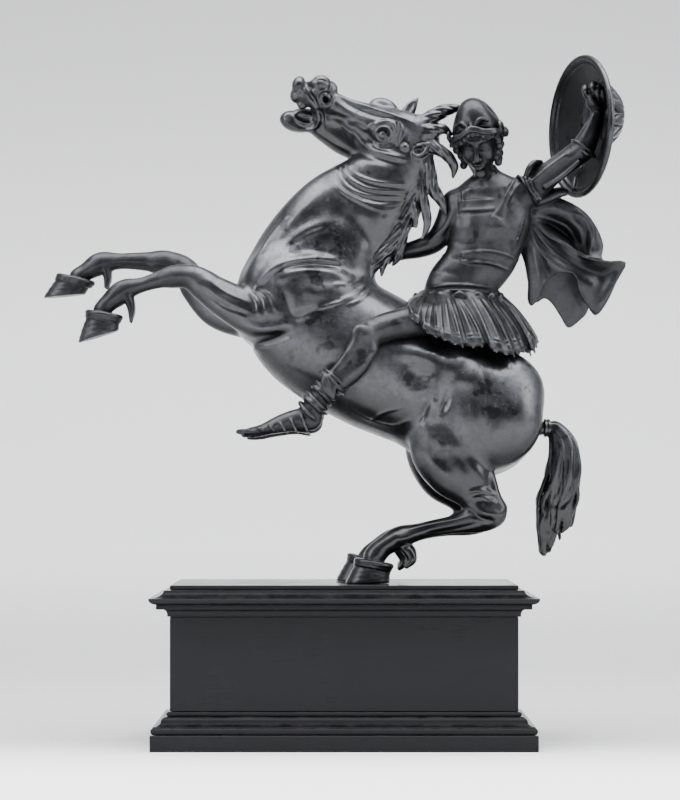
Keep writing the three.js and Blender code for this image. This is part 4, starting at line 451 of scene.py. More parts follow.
def horse_body(clay):
    sweep(clay, [
        (112, 261, 36, 0, 33), (98, 245, 49, 0, 40), (62, 266, 49, 0, 43),
        (23, 285, 52, 0, 43), (-17, 308, 51, 0, 40), (-38, 328, 44, 0, 35),
    ], 6)
    sweep(clay, [
        (-30, 334, 50, 0, 34), (-20, 361, 46, 0, 28), (-2, 388, 41, 0, 23),
        (18, 408, 33, -1, 19), (37, 429, 25, -2, 16), (52, 446, 16, -3, 13),
    ], 8)
    for side in (-1, 1):
        ball(clay, (104, side * 22, 243), (43, 40, 24), 8)
        ball(clay, (118, side * 15, 262), (30, 27, 20), 8)
        ball(clay, (0, 0, 0), (40, 22, 19), 7, frame=leaning((75, side * 24, 277), 14))
        ball(clay, (0, 0, 0), (40, 26, 17), 9, frame=leaning((-32, side * 20, 336), 25))
        ball(clay, (0, 0, 0), (20, 24, 17), 8, frame=leaning((-60, side * 15, 318), 15))


print(len(MUSCLES), "strokes on each flank")

# %% [markdown]
# Hooves are horn: a wall that widens to the sole, under a coronet of two raised bands. The
# pasterns carry a tuft of hair behind the fetlock.

# %% Legs and hooves


def hoof(clay, y, front, back, toe, heel, half):
    """Front and back of the coronet, then of the sole, as x, z; half width in depth."""
    front, back, toe, heel = (np.array(p, np.float32) for p in (front, back, toe, heel))
    corners = np.array([front, back, toe, heel])
    low, high = corners.min(0) - 6, corners.max(0) + 6
    w = clay.window((low[0], y - half - 6, low[1]), (high[0], y + half + 6, high[1]))
    x, py, z = clay.axes(w, (0, y, 0))

    def above(a, b):
        n = np.hypot(*(b - a))
        return ((x - a[0]) * (b[1] - a[1]) - (z - a[1]) * (b[0] - a[0])) / n

    top, sole = above(front, back), above(toe, heel)
    k = np.clip(top / np.maximum(top - sole, 1), -0.4, 1.4)
    lx, lz = front[0] + (toe[0] - front[0]) * k, front[1] + (toe[1] - front[1]) * k
    rx, rz = back[0] + (heel[0] - back[0]) * k, back[1] + (heel[1] - back[1]) * k
    reach = np.sqrt((rx - lx) ** 2 + (rz - lz) ** 2) / 2
    q = ((x - (lx + rx) / 2) * (rx - lx) + (z - (lz + rz) / 2) * (rz - lz)) / (2 * reach)
    rings = 0.16 * np.cos(k * 30)
    wall = ellipse(q, py, reach + rings, half * (0.84 + 0.16 * k) + rings)
    clay.join(w, np.maximum(wall, np.maximum(sole, -top - 2)).astype(np.float32), 0.5)
    middle, arm = (front + back) / 2, (back - front) / 2
    down = ((toe + heel) - (front + back)) / 2
    down = down / np.hypot(*down)
    for drop, thick in ((0, 2.0), (2.7, 1.4)):
        centre = middle + down * drop
        rope(clay, ring(24, lambda t: (
            centre[0] + arm[0] * np.cos(t) * 1.03, y + half * 0.87 * np.sin(t),
            centre[1] + arm[1] * np.cos(t) * 1.03, thick)), 0.6, 1)


def foreleg(clay, y, upper, knee, cannon, tuft, foot):
    for rows, blend in ((upper, 5), (knee, 3), (cannon, 3)):
        sweep(clay, [(x, z, high, y, deep) for x, z, high, deep in rows], blend)
    hair(clay, y, tuft)
    hoof(clay, y, *foot, 11)


def hair(clay, y, tuft):
    """A tuft behind the fetlock, in five strands."""
    for i in range(5):
        side = 2.6 * (i - 2)
        rope(clay, [(x, y + side * (0.6 + 0.25 * j), z - 0.5 * abs(side), r * 0.62)
                    for j, (x, z, r) in enumerate(tuft)], 1.2)


def horse_legs(clay):
    foreleg(
        clay, -24,
        [(-48, 320, 21, 13), (-66, 319, 18, 12), (-85, 328, 15.5, 11), (-103, 339, 12, 10)],
        [(-103, 340, 12.5, 10), (-113, 346, 10.5, 10), (-122, 346.5, 9, 8.5), (-130, 346, 8, 6.5)],
        [(-122, 347, 9, 7), (-137, 344, 7.5, 5.5), (-150, 340, 7, 5.5), (-161, 337, 9, 7.5),
         (-168, 332, 9.5, 8), (-175, 326, 7.5, 7), (-179, 321, 8, 8)],
        [(-160, 334, 6), (-157, 325, 4.5), (-157.5, 315, 1.2)],
        [(-189, 320), (-165.5, 316), (-196.5, 297.5), (-166.5, 306.5)],
    )
    foreleg(
        clay, 24,
        [(-50, 322, 20, 13), (-72, 318, 16, 12), (-95, 326, 16, 11), (-112, 342, 13, 10)],
        [(-110, 341, 12, 10), (-122, 355, 12, 10), (-133, 360, 10.5, 9), (-142, 361, 9, 7)],
        [(-135, 361, 9.5, 7), (-155, 362, 8, 5.5), (-170, 362, 7.5, 5.5), (-182, 361, 9.5, 7.5),
         (-189, 358, 9.5, 8), (-197, 353, 7.5, 7), (-202, 350, 8, 8)],
        [(-180, 358, 6), (-179, 351, 4.5), (-180, 345, 2.5)],
        [(-216, 351), (-191, 345), (-228, 334), (-196, 337)],
    )
    for y, dx, dz in ((-27, 0, 0), (24, -4, -3)):
        sweep(clay, [
            (98 + dx / 2, 242, 40, y * 0.7, 20), (80 + dx / 2, 224, 33, y * 0.85, 18),
            (84 + dx, 206 + dz, 26, y, 15), (92 + dx, 193 + dz, 18, y, 12),
            (98 + dx, 183 + dz, 14, y, 10), (103 + dx, 174 + dz, 14, y, 10),
        ], 5)
        sweep(clay, [
            (110 + dx, 171 + dz, 11.5, y, 8), (98 + dx, 168 + dz, 12, y, 9),
            (84 + dx, 164 + dz, 8.5, y, 7), (68 + dx, 161 + dz, 7.5, y, 6.5),
            (52 + dx, 157 + dz, 8, y, 7.5), (40 + dx, 153 + dz, 10, y, 9),
            (28 + dx, 146 + dz, 8.5, y, 8), (22 + dx, 139 + dz, 9.5, y, 9),
        ], 3)
        rope(clay, [(108 + dx, y, 198 + dz, 4), (112 + dx, y, 184 + dz, 4), (115 + dx, y, 176 + dz, 5)], 4)
        hair(clay, y, [(45 + dx, 150 + dz, 7), (50 + dx, 141 + dz, 6), (46 + dx, 135 + dz, 3)])
    hoof(clay, -27, (9.5, 137), (34.5, 132.5), (0.5, 119.7), (33.5, 119.7), 12.5)
    hoof(clay, 24, (4.5, 139), (28, 133), (-6.5, 119.7), (27, 119.7), 12.5)


print("legs of the horse ready")

# %% [markdown]
# The head is worked in its own frame: u runs to the muzzle, v up to the line of the nose and
# w to a cheek. It is a deep wedge with the lips parted only at the front. The bones, hollows and
# wrinkles of the near cheek are strokes again, and one ear is pricked while the other is
# laid back.

# %% Head of the horse


def oval(x, z, wide, high, start, end, count):
    """Points round an oval in the front view, from one angle to another."""
    return [(x + wide * np.cos(t), z + high * np.sin(t)) for t in np.linspace(start, end, count)]


FEATURES = [
    # bridge of the nose and the hollow under it
    (1.3, 1.2, [(-4, 483), (10, 477.4), (24, 471.6), (38, 466.6), (52, 461)]),
    (-2.0, 1.6, [(-3, 479), (5, 473.6), (16, 468.8), (26, 465.4), (35, 463)]),
    # cheek bone, its end under the eye, and the hollow below
    (1.2, 1.8, [(0, 461.5), (10, 463), (17, 459), (22, 455)]),
    (2.0, 1.7, [(-4, 459.5), (7, 454), (14, 446.5), (24, 440.6), (34, 436.8), (44, 434.5)]),
    (-1.8, 2.2, [(5, 446), (12, 440), (24, 434.6), (38, 430.5)]),
    (-1.3, 2.0, [(-11, 468), (-3, 466), (5, 459)]),
    (-1.1, 2.4, [(-10, 455), (-2, 449), (6, 443)]),
    # hollows and veins before the eye
    (-1.5, 1.3, [(17, 454.5), (20, 450), (23, 446.6)]),
    (0.9, 0.8, [(11, 459), (16.5, 455.8), (19.6, 459), (24, 460.5)]),
    (0.8, 0.7, [(-9, 472), (-2, 468.5), (6, 466.5)]),
    (0.7, 0.7, [(-6, 463), (2, 457), (6, 450)]),
    # band behind the eye
    (1.4, 1.0, [(41, 461), (42.4, 454.5), (40, 444.6)]),
    (-1.2, 0.9, [(38.4, 459), (39.2, 453), (37, 445)]),
    (-1.2, 1.1, [(44.6, 459), (45.6, 453), (43, 448)]),
    # folds at the corner of the mouth
    (-1.3, 0.8, [(-16.6, 472), (-15.6, 466), (-15.8, 459.6)]),
    (1.1, 0.7, [(-14.6, 471.5), (-13.6, 466), (-14, 461)]),
    (-0.9, 0.7, [(-12.6, 470.6), (-11.8, 466), (-12.4, 462)]),
    (0.8, 1.4, [(-22, 457), (-10, 449.5), (2, 443)]),
    # rolled rim of the lips, round the corner of the mouth, and the groove behind it
    (1.9, 0.9, [
        (-31.8, 492), (-30.7, 486), (-28.8, 482), (-24.3, 475.5), (-20.4, 470), (-18.8, 464.8),
        (-20.4, 460.6), (-24, 458.4), (-31, 457.6), (-38.3, 459.7), (-43, 463.6), (-45, 468.1), (-42, 471),
    ]),
    (-1.4, 1.0, [(-28.6, 492), (-26.4, 484.8), (-22, 478.4), (-17.6, 473.4)]),
    (-1.8, 1.6, [(-40, 467.5), (-36, 463.4), (-30, 461.4), (-24, 463)]),
    (1.4, 0.7, [(-38, 470), (-35.6, 466), (-31.4, 463.4), (-26.4, 463), (-22.6, 465)]),
    # nostril
    (1.5, 0.8, oval(-13.7, 478.8, 5.7, 5.7, 0.3, 7.2, 16)),
    (-0.9, 0.6, oval(-13.7, 478.8, 4.4, 4.4, 0, 6.9, 14)),
    (0.9, 0.6, oval(-13.7, 478.6, 3.2, 3.2, 0, 6.9, 12)),
    # wrinkles over it
    (1.2, 0.6, [(-21, 494.8), (-16, 495.7), (-11.6, 493.6), (-8.6, 489.6), (-7.2, 485)]),
    (1.2, 0.6, [(-22, 492.2), (-16.5, 493.2), (-12.3, 491.2), (-9.6, 487.4)]),
    (1.1, 0.6, [(-21.4, 489.9), (-16.5, 490.7), (-13.0, 489), (-10.6, 486.6)]),
    (0.9, 0.6, [(-21, 487.6), (-16.8, 488.2), (-13.9, 486.8)]),
    (1.1, 1.4, [(-25, 492), (-22.6, 491)]),
    (1.0, 1.2, [(-24, 484), (-21.4, 482.4)]),
    (-1.0, 1.0, [(-26, 487.6), (-22.6, 486.6)]),
    # lids and the folds round them
    (1.5, 0.75, oval(29.1, 452.6, 5.6, 5.4, -0.4, 6.4, 16)),
    (-1.0, 0.6, [(22.6, 455), (25, 459), (30, 460), (35, 457.6), (36.4, 452.4)]),
    (1.3, 0.8, [(21.4, 455.8), (25.6, 461), (32.6, 462.4), (37.2, 459), (38.4, 452.3), (36.6, 445.4)]),
    (1.0, 0.8, [(23, 446.9), (28.2, 444), (34.4, 445)]),
]


def near_side(clay, x, z):
    """Where the near side of the clay lies at a place of the front view."""
    column = clay.d[round((x - clay.low[0]) / clay.cell), :, round((z - clay.low[2]) / clay.cell)]
    return float(clay.low[1] + clay.cell * np.argmax(column < 0))


def horse_head(clay):
    limb(clay, HEAD, [
        (-4, -2, 14, 0, 12), (8, 0, 17, 0, 14), (24, 0, 16, 0, 14.5), (40, 2, 12.5, 0, 11.5),
        (56, 3.2, 9.8, 0, 9), (70, 6, 9.5, 0, 9), (82, 8, 10, 0, 9.5), (90, 8.5, 8.5, 0, 9),
    ], 5)
    # jowl, cheek and jaw make one wedge with the skull as far as the corner of the mouth
    ball(clay, (27, -17, 0), (24, 20, 14.5), 6, frame=HEAD)
    limb(clay, HEAD, [
        (14, -8, 20, 0, 13.5), (30, -9, 20, 0, 13), (46, -9, 17, 0, 11), (60, -8, 13, 0, 9.5),
        (74, -6, 8.5, 0, 8.5),
    ], 4)
    limb(clay, HEAD, [
        (30, -18, 16, 0, 11), (50, -21, 12, 0, 9), (66, -17.5, 10, 0, 8), (79, -14.5, 7.5, 0, 7.5),
        (88, -16, 7.5, 0, 8),
    ], 4)
    ball(clay, (92, -17.2, 0), (11.5, 7.6, 8.6), 2, frame=HEAD)
    # muzzle with its wrinkled top, and the two lobes of the upper lip
    ball(clay, (80, 15.5, 1), (8, 10.2, 7.5), 3, frame=HEAD)
    ball(clay, (96, 13, 0), (5, 6.4, 7), 1.5, frame=HEAD)
    ball(clay, (95.5, 5, 0), (5, 6.4, 7.5), 1.5, frame=HEAD)
    ball(clay, (89.5, 0, 1), (4.5, 4, 7.5), 1.5, frame=HEAD)
    # gap between the lips
    limb(clay, HEAD, [
        (82, -5, 1.4, 3, 9), (90, -5.6, 2.4, 3, 11), (98, -5.4, 3.6, 3, 13), (108, -5, 6, 3, 15),
    ], 1, cut=True)
    ball(clay, (86, -9, 8), (8.5, 3.6, 6), 1, cut=True, frame=HEAD)
    ball(clay, (84, -7, 5), (5.5, 3, 9), 0.6, cut=True, frame=HEAD)
    # brow of the far side
    ball(clay, (31, 10.5, -9), (11, 7.5, 6.5), 2.5, frame=HEAD)
    # tongue
    limb(clay, HEAD, [(76, -8, 3.4, -2, 5), (86, -8.4, 3, -2, 5), (93, -9.6, 2, -1, 4)], 1)
    relief(clay, FEATURES, 0.3)
    # the near eye between its lids, the nostril, a knob of bone, and the near ear laid back and open
    y = near_side(clay, 29, 452.6)
    ball(clay, (29, y - 1.4, 452.6), (4.9, 4.7, 3.4), 0.6, cut=True)
    ball(clay, (29, y + 2.2, 452.6), 4.2, 0.3)
    ball(clay, (-13.4, near_side(clay, -13.4, 478.8), 477.8), (2.3, 2.3, 4.5), 0.6, cut=True)
    ball(clay, (45, near_side(clay, 45, 443) + 1, 443), 3.7, 1)
    y = near_side(clay, 56, 441)
    ball(clay, (56, y + 1, 440.6), (6.6, 4.8, 4.4), 1.5)
    ball(clay, (55.6, y - 3.6, 441), (4.3, 2.8, 3.6), 0.5, cut=True)
    rope(clay, [
        (50.6, y - 1, 443.2, 0.9), (50.8, y - 2.4, 438.8, 1.0), (54.4, y - 2.8, 436.2, 1.1),
        (59, y - 2.6, 438.6, 1.2), (62.8, y - 1.4, 445.2, 1.2), (58.4, y - 2.4, 445, 1.0),
        (54, y - 2.4, 444, 1.0), (50.6, y - 1, 443.2, 0.9)], 0.6)
    # far eye and nostril
    ball(clay, (25, 5.5, -12), (8.6, 7.8, 4.4), 2.5, frame=HEAD)
    ball(clay, (25, 5, -17), (5.2, 4.6, 3.2), 0.8, cut=True, frame=HEAD)
    ball(clay, (25, 5, -13.2), 4.1, 0.3, frame=HEAD)
    for rows in (
        [(32.8, 3.5, -14.8, 1.0), (30.8, 8.8, -15.4, 1.2), (25, 11, -15.6, 1.3), (19.4, 8.6, -15.4, 1.2),
         (17.6, 4.2, -14.8, 0.9)],
        [(32.2, 2.4, -14.6, 0.9), (28, -0.4, -15.4, 1.1), (22, -0.4, -15.4, 1.1), (18, 3, -14.6, 0.8)],
    ):
        rope(clay, HEAD.rows(rows), 0.7)
    ball(clay, (73.5, 12.6, -7), (6.6, 6.4, 3.4), 2.5, frame=HEAD)
    rope(clay, HEAD.rows(ring(18, lambda t: (73.5 + 5 * np.cos(t), 12.6 + 5 * np.sin(t), -9.6, 1.3))), 0.8, 1)
    ball(clay, (73.3, 12, -11), (2.8, 2.8, 5), 0.5, cut=True, frame=HEAD)
    # far ear, pricked
    far = Frame((48, 8, 472), (0.5, 0, 0.87), (1, 0, -0.5))
    limb(clay, far, [(-4, 0, 6, 0, 4.5), (5, 0, 4.8, 0, 3.2), (14.5, 1, 0.9, 0, 0.8)], 2)
    ball(clay, (5, -0.5, 4.2), (7, 2.6, 3), 0.6, cut=True, frame=far)


print("head of the horse ready")

# %% [markdown]
# The mane was built on the wax in locks laid one over another. Each is a bundle of strands wound
# round a curve, wide at the crest and pointed where it ends.

# %% Mane, and the whole horse
MANE = [
    [(52, -6, 456, 6), (62, -8, 464, 7), (74, -8, 471, 6), (85, -6, 474, 3.4)],
    [(56, -9, 452, 6), (66, -12, 456, 6), (74, -12, 457, 4.5), (80, -10, 453, 1.8)],
    [(58, -8, 448, 6), (68, -12, 443, 5.5), (77, -12, 437, 5), (82, -10, 429, 4), (81, -8, 421, 1)],
    [(58, -6, 444, 7), (63, -8, 428, 6.5), (66, -8, 414, 6), (73, -8, 403, 4.5), (76, -8, 394, 1)],
    [(54, -4, 430, 8), (57, -6, 412, 6), (61, -6, 397, 4.5), (62, -6, 386, 3.5), (58, -6, 376, 1)],
    [(50, -4, 415, 8), (50, -6, 402, 5), (53, -6, 394, 3.5), (53, -6, 385, 2.5)],
    [(48, -3, 405, 8), (45, -5, 390, 6.5), (43, -5, 375, 5), (40, -5, 362, 3.5), (36, -5, 356, 1)],
    [(42, -3, 392, 8), (36, -5, 375, 7), (30, -5, 361, 5), (28, -5, 348, 1)],
    [(34, -3, 378, 8), (26, -8, 362, 6), (21, -8, 352, 4), (19, -8, 343, 1.5)],
    [(56, 6, 440, 9), (58, 8, 420, 8), (54, 9, 402, 7), (46, 9, 385, 5), (44, 10, 372, 1)],
    [(48, 5, 412, 9), (42, 8, 392, 8), (32, 9, 374, 6), (26, 10, 360, 1.5)],
]
SOLES = 120


def horse():
    clay = Clay((-232, -50, 116), (156, 46, 506), CELL)
    horse_body(clay)
    horse_legs(clay)
    relief(clay, MUSCLES)
    for i, path in enumerate(MANE):
        lock(clay, path, 0.13 * i)
    horse_head(clay)
    clay.d = np.maximum(clay.d, SOLES - clay.axes(clay.whole())[2])
    return clay


def tail():
    clay = Clay((138, -22, 130), (186, 22, 248), FINE_CELL)
    sweep(clay, [
        (143, 234, 7, 0, 7), (150, 235, 5.8, 0, 6.2), (157, 233, 6.4, 0, 7), (163, 225, 7.4, 0, 7.5),
        (165, 212, 9.5, 0, 7.8), (164, 196, 10, 0, 7.8), (160.5, 182, 10.2, 0, 6.8), (157, 168, 9, 0, 6),
        (154, 155, 6, 0, 5), (152, 147, 3, 0, 3),
    ], 2)
    # long strands that part and wave as they hang
    for i in range(26):
        t = 2 * ((i * 0.618) % 1) - 1
        side = 1 if i % 2 else -1
        bulge = side * (0.35 + 0.65 * np.sqrt(max(0.0, 1 - t * t)))
        wave = 2.2 * np.sin(2.1 * i)
        tip_x = 151.5 + 5 * t + 13 * max(t, 0) ** 1.6 + 1.5 * np.sin(3 * i)
        tip_z = 143 + 26 * max(t, 0) ** 1.2 + 5 * np.sin(5 * i)
        thick = 1.7 + 0.5 * np.sin(1.3 * i)
        rope(clay, [
            (150, side * 2, 235, 3.0), (157 + 3 * t, 4.6 * bulge, 235 + 2.6 * t, thick + 0.6),
            (164 + 9 * t, 7.6 * bulge, 222 + 2 * t, thick + 0.4),
            (164 + 11.5 * t + wave, 8.4 * bulge, 202, thick + 0.5),
            (160 + 14 * t - wave, 7.6 * bulge, 182, thick + 0.3),
            ((158 + 14 * t + tip_x) / 2 + wave, 5.6 * bulge, 164, thick), (tip_x, 3 * bulge, tip_z, 1.1),
        ], 0.4)
    # and finer ridges and grooves between them
    lines = []
    for i in range(17):
        t = -1 + 2 * i / 16
        wave, drift = 1.6 * np.sin(2.3 * i), 2.5 * np.sin(1.1 * i)
        lines.append((1.0 if i % 2 else -0.6, 0.8, [
            (152, 235 + 4.5 * t), (158 + 4 * t, 234 + 4 * t), (164 + 9 * t, 222 + 2 * t),
            (164 + 11.5 * t + wave, 203), (160 + 11 * t + drift, 184),
            (157 + 8 * t + drift + wave, 176 - 18 * (i % 2)),
        ]))
    relief(clay, lines, 1.0)
    # collar where the tail is pinned into the croup
    for u in (0, 2.6):
        rope(clay, ring(20, lambda t: (150.5 + u, 6.2 * np.sin(t), 235 + 6 * np.cos(t), 1.1)), 0.4, 1)
    return clay


horse_clay = horse()
tail_clay = tail()
print("horse", horse_clay.shape, "tail", tail_clay.shape, "samples")

# %% [markdown]
# ## The rider
#
# The rider was cast apart from the horse and sits in the place cut for them. They wear a
# modelled cuirass over a skirt of leather strips, laced boots, a helmet pushed up from the
# brow and a cloak blown out behind. The face is a plain calm one, bowed to the near side.

# %% Trunk, with its cuirass
TRUNK = np.array([
    (86, 320, 27, 0, 20), (86, 337, 27, 0, 17), (91, 347, 25.5, -1, 15), (98, 355, 25.5, -1, 15),
    (103, 365, 28, -2, 16), (107, 379, 29.5, -3, 17.5), (110, 394, 31, -2, 17.5), (109, 405, 24, 0, 13),
])


def on_trunk(z, degrees, lift=0.0):
    """A place on the trunk, the rider's left being 0 and the near side -90 degrees."""
    x, r, y, deep = (np.interp(z, TRUNK[:, 1], TRUNK[:, k]) for k in (0, 2, 3, 4))
    t = np.radians(degrees)
    return x + (r + lift) * np.cos(t), y + (deep + lift) * np.sin(t), z


def band(clay, z_start, z_end):
    """A raised line round the back of the trunk, from one height to another."""
    start, end = 10, 176
    rows = [
        (*on_trunk(z_start + (z_end - z_start) * t, start + (end - start) * t, 0.5), 1.2)
        for t in np.linspace(0, 1, 12)]
    rope(clay, rows, 0.7, 2)


# Strokes on the front of the cuirass
CUIRASS = [
    # flat band at the neckline between two edges
    (1.5, 0.9, [(86, 403.4), (98, 403.8), (110, 404)]),
    (1.3, 0.9, [(86, 396.8), (98, 396.6), (110.6, 397.2)]),
    (0.6, 2.2, [(86, 400), (98, 400.2), (110, 400.6)]),
    (-0.9, 0.8, [(85, 394.6), (98, 394.4), (110.6, 395)]),
    # shoulder straps
    (1.6, 0.8, [(127, 420), (120.6, 409.2), (115.4, 398), (110.6, 391.2)]),
    (1.6, 0.8, [(132, 419), (124.6, 409), (120.4, 399.6), (116.8, 387.4)]),
    (0.7, 1.8, [(127, 414), (120.4, 402), (115, 391)]),
    (1.3, 0.7, [(110.6, 391.2), (113.4, 390), (116.8, 387.4)]),
    (1.4, 0.8, [(83.4, 410), (84, 401), (84.4, 392)]),
    (1.4, 0.8, [(88, 411), (88.2, 404), (88, 399)]),
    # breast, line of the breastbone and columns of the belly
    (1.2, 3.4, [(80, 391), (87, 385), (97, 386)]),
    (1.2, 3.4, [(102, 387), (113, 383), (127, 388)]),
    (-1.1, 1.8, [(97, 394), (98.4, 376), (95, 354), (87, 340)]),
    (-1.0, 2.6, [(89, 391), (88.6, 378)]),
    (-0.9, 2.4, [(101, 390), (100, 376)]),
    (-0.8, 1.2, [(82, 373.6), (89, 371.6), (95, 373)]),
    (-0.8, 1.2, [(100, 373.4), (106, 372), (112, 374)]),
    (-0.8, 1.2, [(80, 362), (85, 360.6), (90, 361.4)]),
    (-0.8, 1.6, [(66, 349), (76, 351), (86, 347)]),
    (-0.7, 2.0, [(112, 350), (118, 356), (126, 362)]),
    (0.9, 2.4, [(118, 378), (125, 374)]),
    (0.9, 2.4, [(114, 386), (122, 381)]),
    # waist band between two edges, wider at the side
    (1.7, 0.8, [(88, 364.4), (98, 365.6), (108, 365.8), (119.6, 363.6), (130, 360)]),
    (1.7, 0.8, [(87, 358.4), (98, 357.8), (107, 357), (115, 355), (124, 351.6)]),
    (0.7, 2.4, [(89, 361.4), (106, 361.4), (126, 356.4)]),
    (1.0, 0.6, [(88.4, 364.4), (87.4, 358.4)]),
    # laces
    (0.9, 0.5, [(133.4, 391.4), (131, 381), (127, 371)]),
    # double edge over the skirt
    (1.9, 0.9, [(53, 333.4), (63, 335.4), (75, 336.6), (93, 336.6), (112, 334.4)]),
    (1.3, 0.8, [(56, 337), (65, 339.4), (76, 340.8), (93, 340.6), (113, 338.4)]),
]


def torso(clay):
    """The trunk, with shoulders and neck."""
    sweep(clay, TRUNK, 4)
    sweep(clay, [
        (84, 403, 11, 0, 11), (96, 411, 9, 1, 10), (108, 415, 10, 1, 10), (122, 413, 10, 1, 10),
        (134, 409, 12, 0, 11.5),
    ], 5)
    sweep(clay, [(109, 413, 11, 1, 9), (107, 425, 9.5, 2, 8), (104, 438, 8.5, 1, 8.5)], 5)
    # neck muscles, collar bones and shoulder blades
    rope(clay, [(97, -6, 437, 1.8), (99, -8, 426, 1.8), (104, -11, 415, 1.6)], 2.5)
    rope(clay, [(112, -4, 437, 1.8), (111, -7, 426, 1.8), (108, -11, 415, 1.6)], 2.5)
    for end in ((92, -10, 411, 1.4), (126, -10, 414, 1.4)):
        rope(clay, [(105, -12, 412, 1.8), end], 2.5)
    for x in (92, 122):
        ball(clay, (x, 14, 392), (9, 12, 4), 5)
    rope(clay, [(108, 18, 400, 1.2), (103, 16, 370, 1.2), (92, 16, 345, 1.2)], 3, cut=True)
    # the same bands round the back
    band(clay, 361, 364)
    band(clay, 354, 358)
    rope(clay, [(*on_trunk(336, a, 1.4), 1.4) for a in range(-180, 181, 10)], 0.8, 2)
    relief(clay, CUIRASS, 0.25)
    for i in range(6):
        x, z = 133.2 - 1.2 * i, 391 - 4 * i
        ball(clay, (x, near_side(clay, x, z), z), (1.7, 0.9, 1.0), 0.3)
    for k in range(4):
        x, z = 111.6 + 1.5 * k, 390.4 - 0.8 * k
        ball(clay, (x, near_side(clay, x, z), z - 1), (0.8, 1.9, 0.9), 0.3)


print("trunk ready")

# %% [markdown]
# The skirt is made of rows of leather strips with cut fringes, longer in front and at the side
# than over the horse's back. The edge is a closed curve round the rider, and each strip runs
# from the cuirass to its own place on it.

# %% Skirt
HEM = np.array([
    (-180, 47, 0, 324), (-165, 48, -30, 319), (-145, 52, -46, 313), (-125, 62, -47, 305),
    (-105, 76, -45, 299), (-90, 88, -43, 294), (-72, 101, -41, 295), (-55, 115, -36, 292),
    (-38, 128, -28, 289), (-20, 136, -17, 294), (0, 140, 0, 303),
], float)


def hem(degrees):
    """Place of the edge at degrees round the rider, the horse's tail being 0."""
    b = (degrees + 180) % 360 - 180
    x, y, z = (np.interp(-abs(b), HEM[:, 0], HEM[:, k]) for k in (1, 2, 3))
    return np.array([x, y if b <= 0 else -y, z])


# For an angle on the edge, the angle at the waist that a strip starts from
WAIST = np.array([(-180, -180), (-160, -158), (-103, -114), (-72, -92), (-20, -14), (0, 0)], float)
STRIPS = 16
STRIP_STEP = 360 / STRIPS
TABS = 14


def strip_point(degrees, down, lift=0.0):
    """A place on the skirt, by its angle on the edge and how far down it is."""
    b = (degrees + 180) % 360 - 180
    a = np.radians(np.interp(-abs(b), WAIST[:, 0], WAIST[:, 1])) * (1 if b <= 0 else -1)
    t = np.radians(b)
    top = np.array([85 + 27 * np.cos(a), 17 * np.sin(a), 333])
    bow = lift + 2.5 * np.sin(np.pi * min(down, 1))
    return top + (hem(b) - top) * down + bow * np.array([np.cos(t), np.sin(t), 0.5])


def strip(i):
    """Middle angle of a strip, its number from the front, its length and its lift."""
    number = min(i, STRIPS - 1 - i)
    return STRIP_STEP * (i + 0.5) - 180, number, 1 + 0.05 * np.sin(2.7 * number + 1), 2.3 * (number % 2)


def skirt(clay):
    lines = []

    def mark(height, width, lift, places):
        """A stroke through places given by angle and how far down."""
        points = [strip_point(a, down, lift) for a, down in places]
        lines.append((height, width, [(p[0], p[2]) for p in points]))

    for i in range(STRIPS):
        middle, number, length, lift = strip(i)
        for aside in (-8.5, -5.7, -2.8, 0, 2.8, 5.7, 8.5, STRIP_STEP / 2):
            under = aside > 9  # between two strips, set back
            short = 0.12 if under else 0.02 * abs(aside) / 8.5
            thick = 2.2 if under else 2.5
            rope(clay, [
                (*strip_point(middle + aside, down * (length - short), -3 if under else lift), thick)
                for down in (0, 0.35, 0.7, 1)], 2.2, 3)
        # raised edges and a fold in the middle, a groove inside each edge and two bands over the
        # fringe; the strokes of the near strips mark the far ones too
        if middle < 0:
            for aside, height in ((-8.8, 1.6), (8.8, 1.6), (0.5 * number - 2, 0.9)):
                mark(height, 0.75, lift, [
                    (middle + aside * (0.75 + 0.25 * d), d * length) for d in (0.12, 0.4, 0.7, 0.98)])
            for aside in (-6.3, 6.3):
                mark(-1.2, 1.3, lift, [(middle + aside, d * length) for d in (0.15, 0.5, 0.86)])
            for row in (0.84, 0.9):
                mark(0.8, 0.55, lift, [(middle + a, row * length) for a in (-8, -3, 3, 8)])
    relief(clay, lines, 1.0)
    # cut fringes
    for i in range(STRIPS):
        middle, number, length, lift = strip(i)
        for j in range(-5, 6):
            a = middle + 1.75 * j
            start = strip_point(a, 0.9 * length, lift + 1.4)
            end = strip_point(a, (1.05 + 0.035 * np.sin(5 * j + 3 * number)) * length, lift)
            rope(clay, [(*start, 0.9), (*end, 0.75)], 0.25, 1)
    # rounded tabs over their upper ends, each with a raised rim inside and out
    for i in range(TABS):
        t = 2 * np.pi * (i + 0.5) / TABS
        c, s = np.cos(t), np.sin(t)
        tab = Frame((85.5 + 31 * c, 21 * s, 329), (-s, c, 0), (0.35 * c, 0.35 * s, 1))
        ball(clay, (0, 0, 0), (6.4, 7.4, 3), 0.3, frame=tab)
        for w in (-2.1, 2.1):
            rope(clay, tab.rows([
                (5.6 * np.cos(a), 6.4 * np.sin(a), w, 0.8) for a in np.radians(range(-190, 11, 20))]), 0.4, 1)


print("skirt ready")

# %% [markdown]
# The boots are of soft leather, laced over the instep, with toes bare on a thick sole. A cuff
# with hanging points closes them below the calf.

# %% Legs and boots


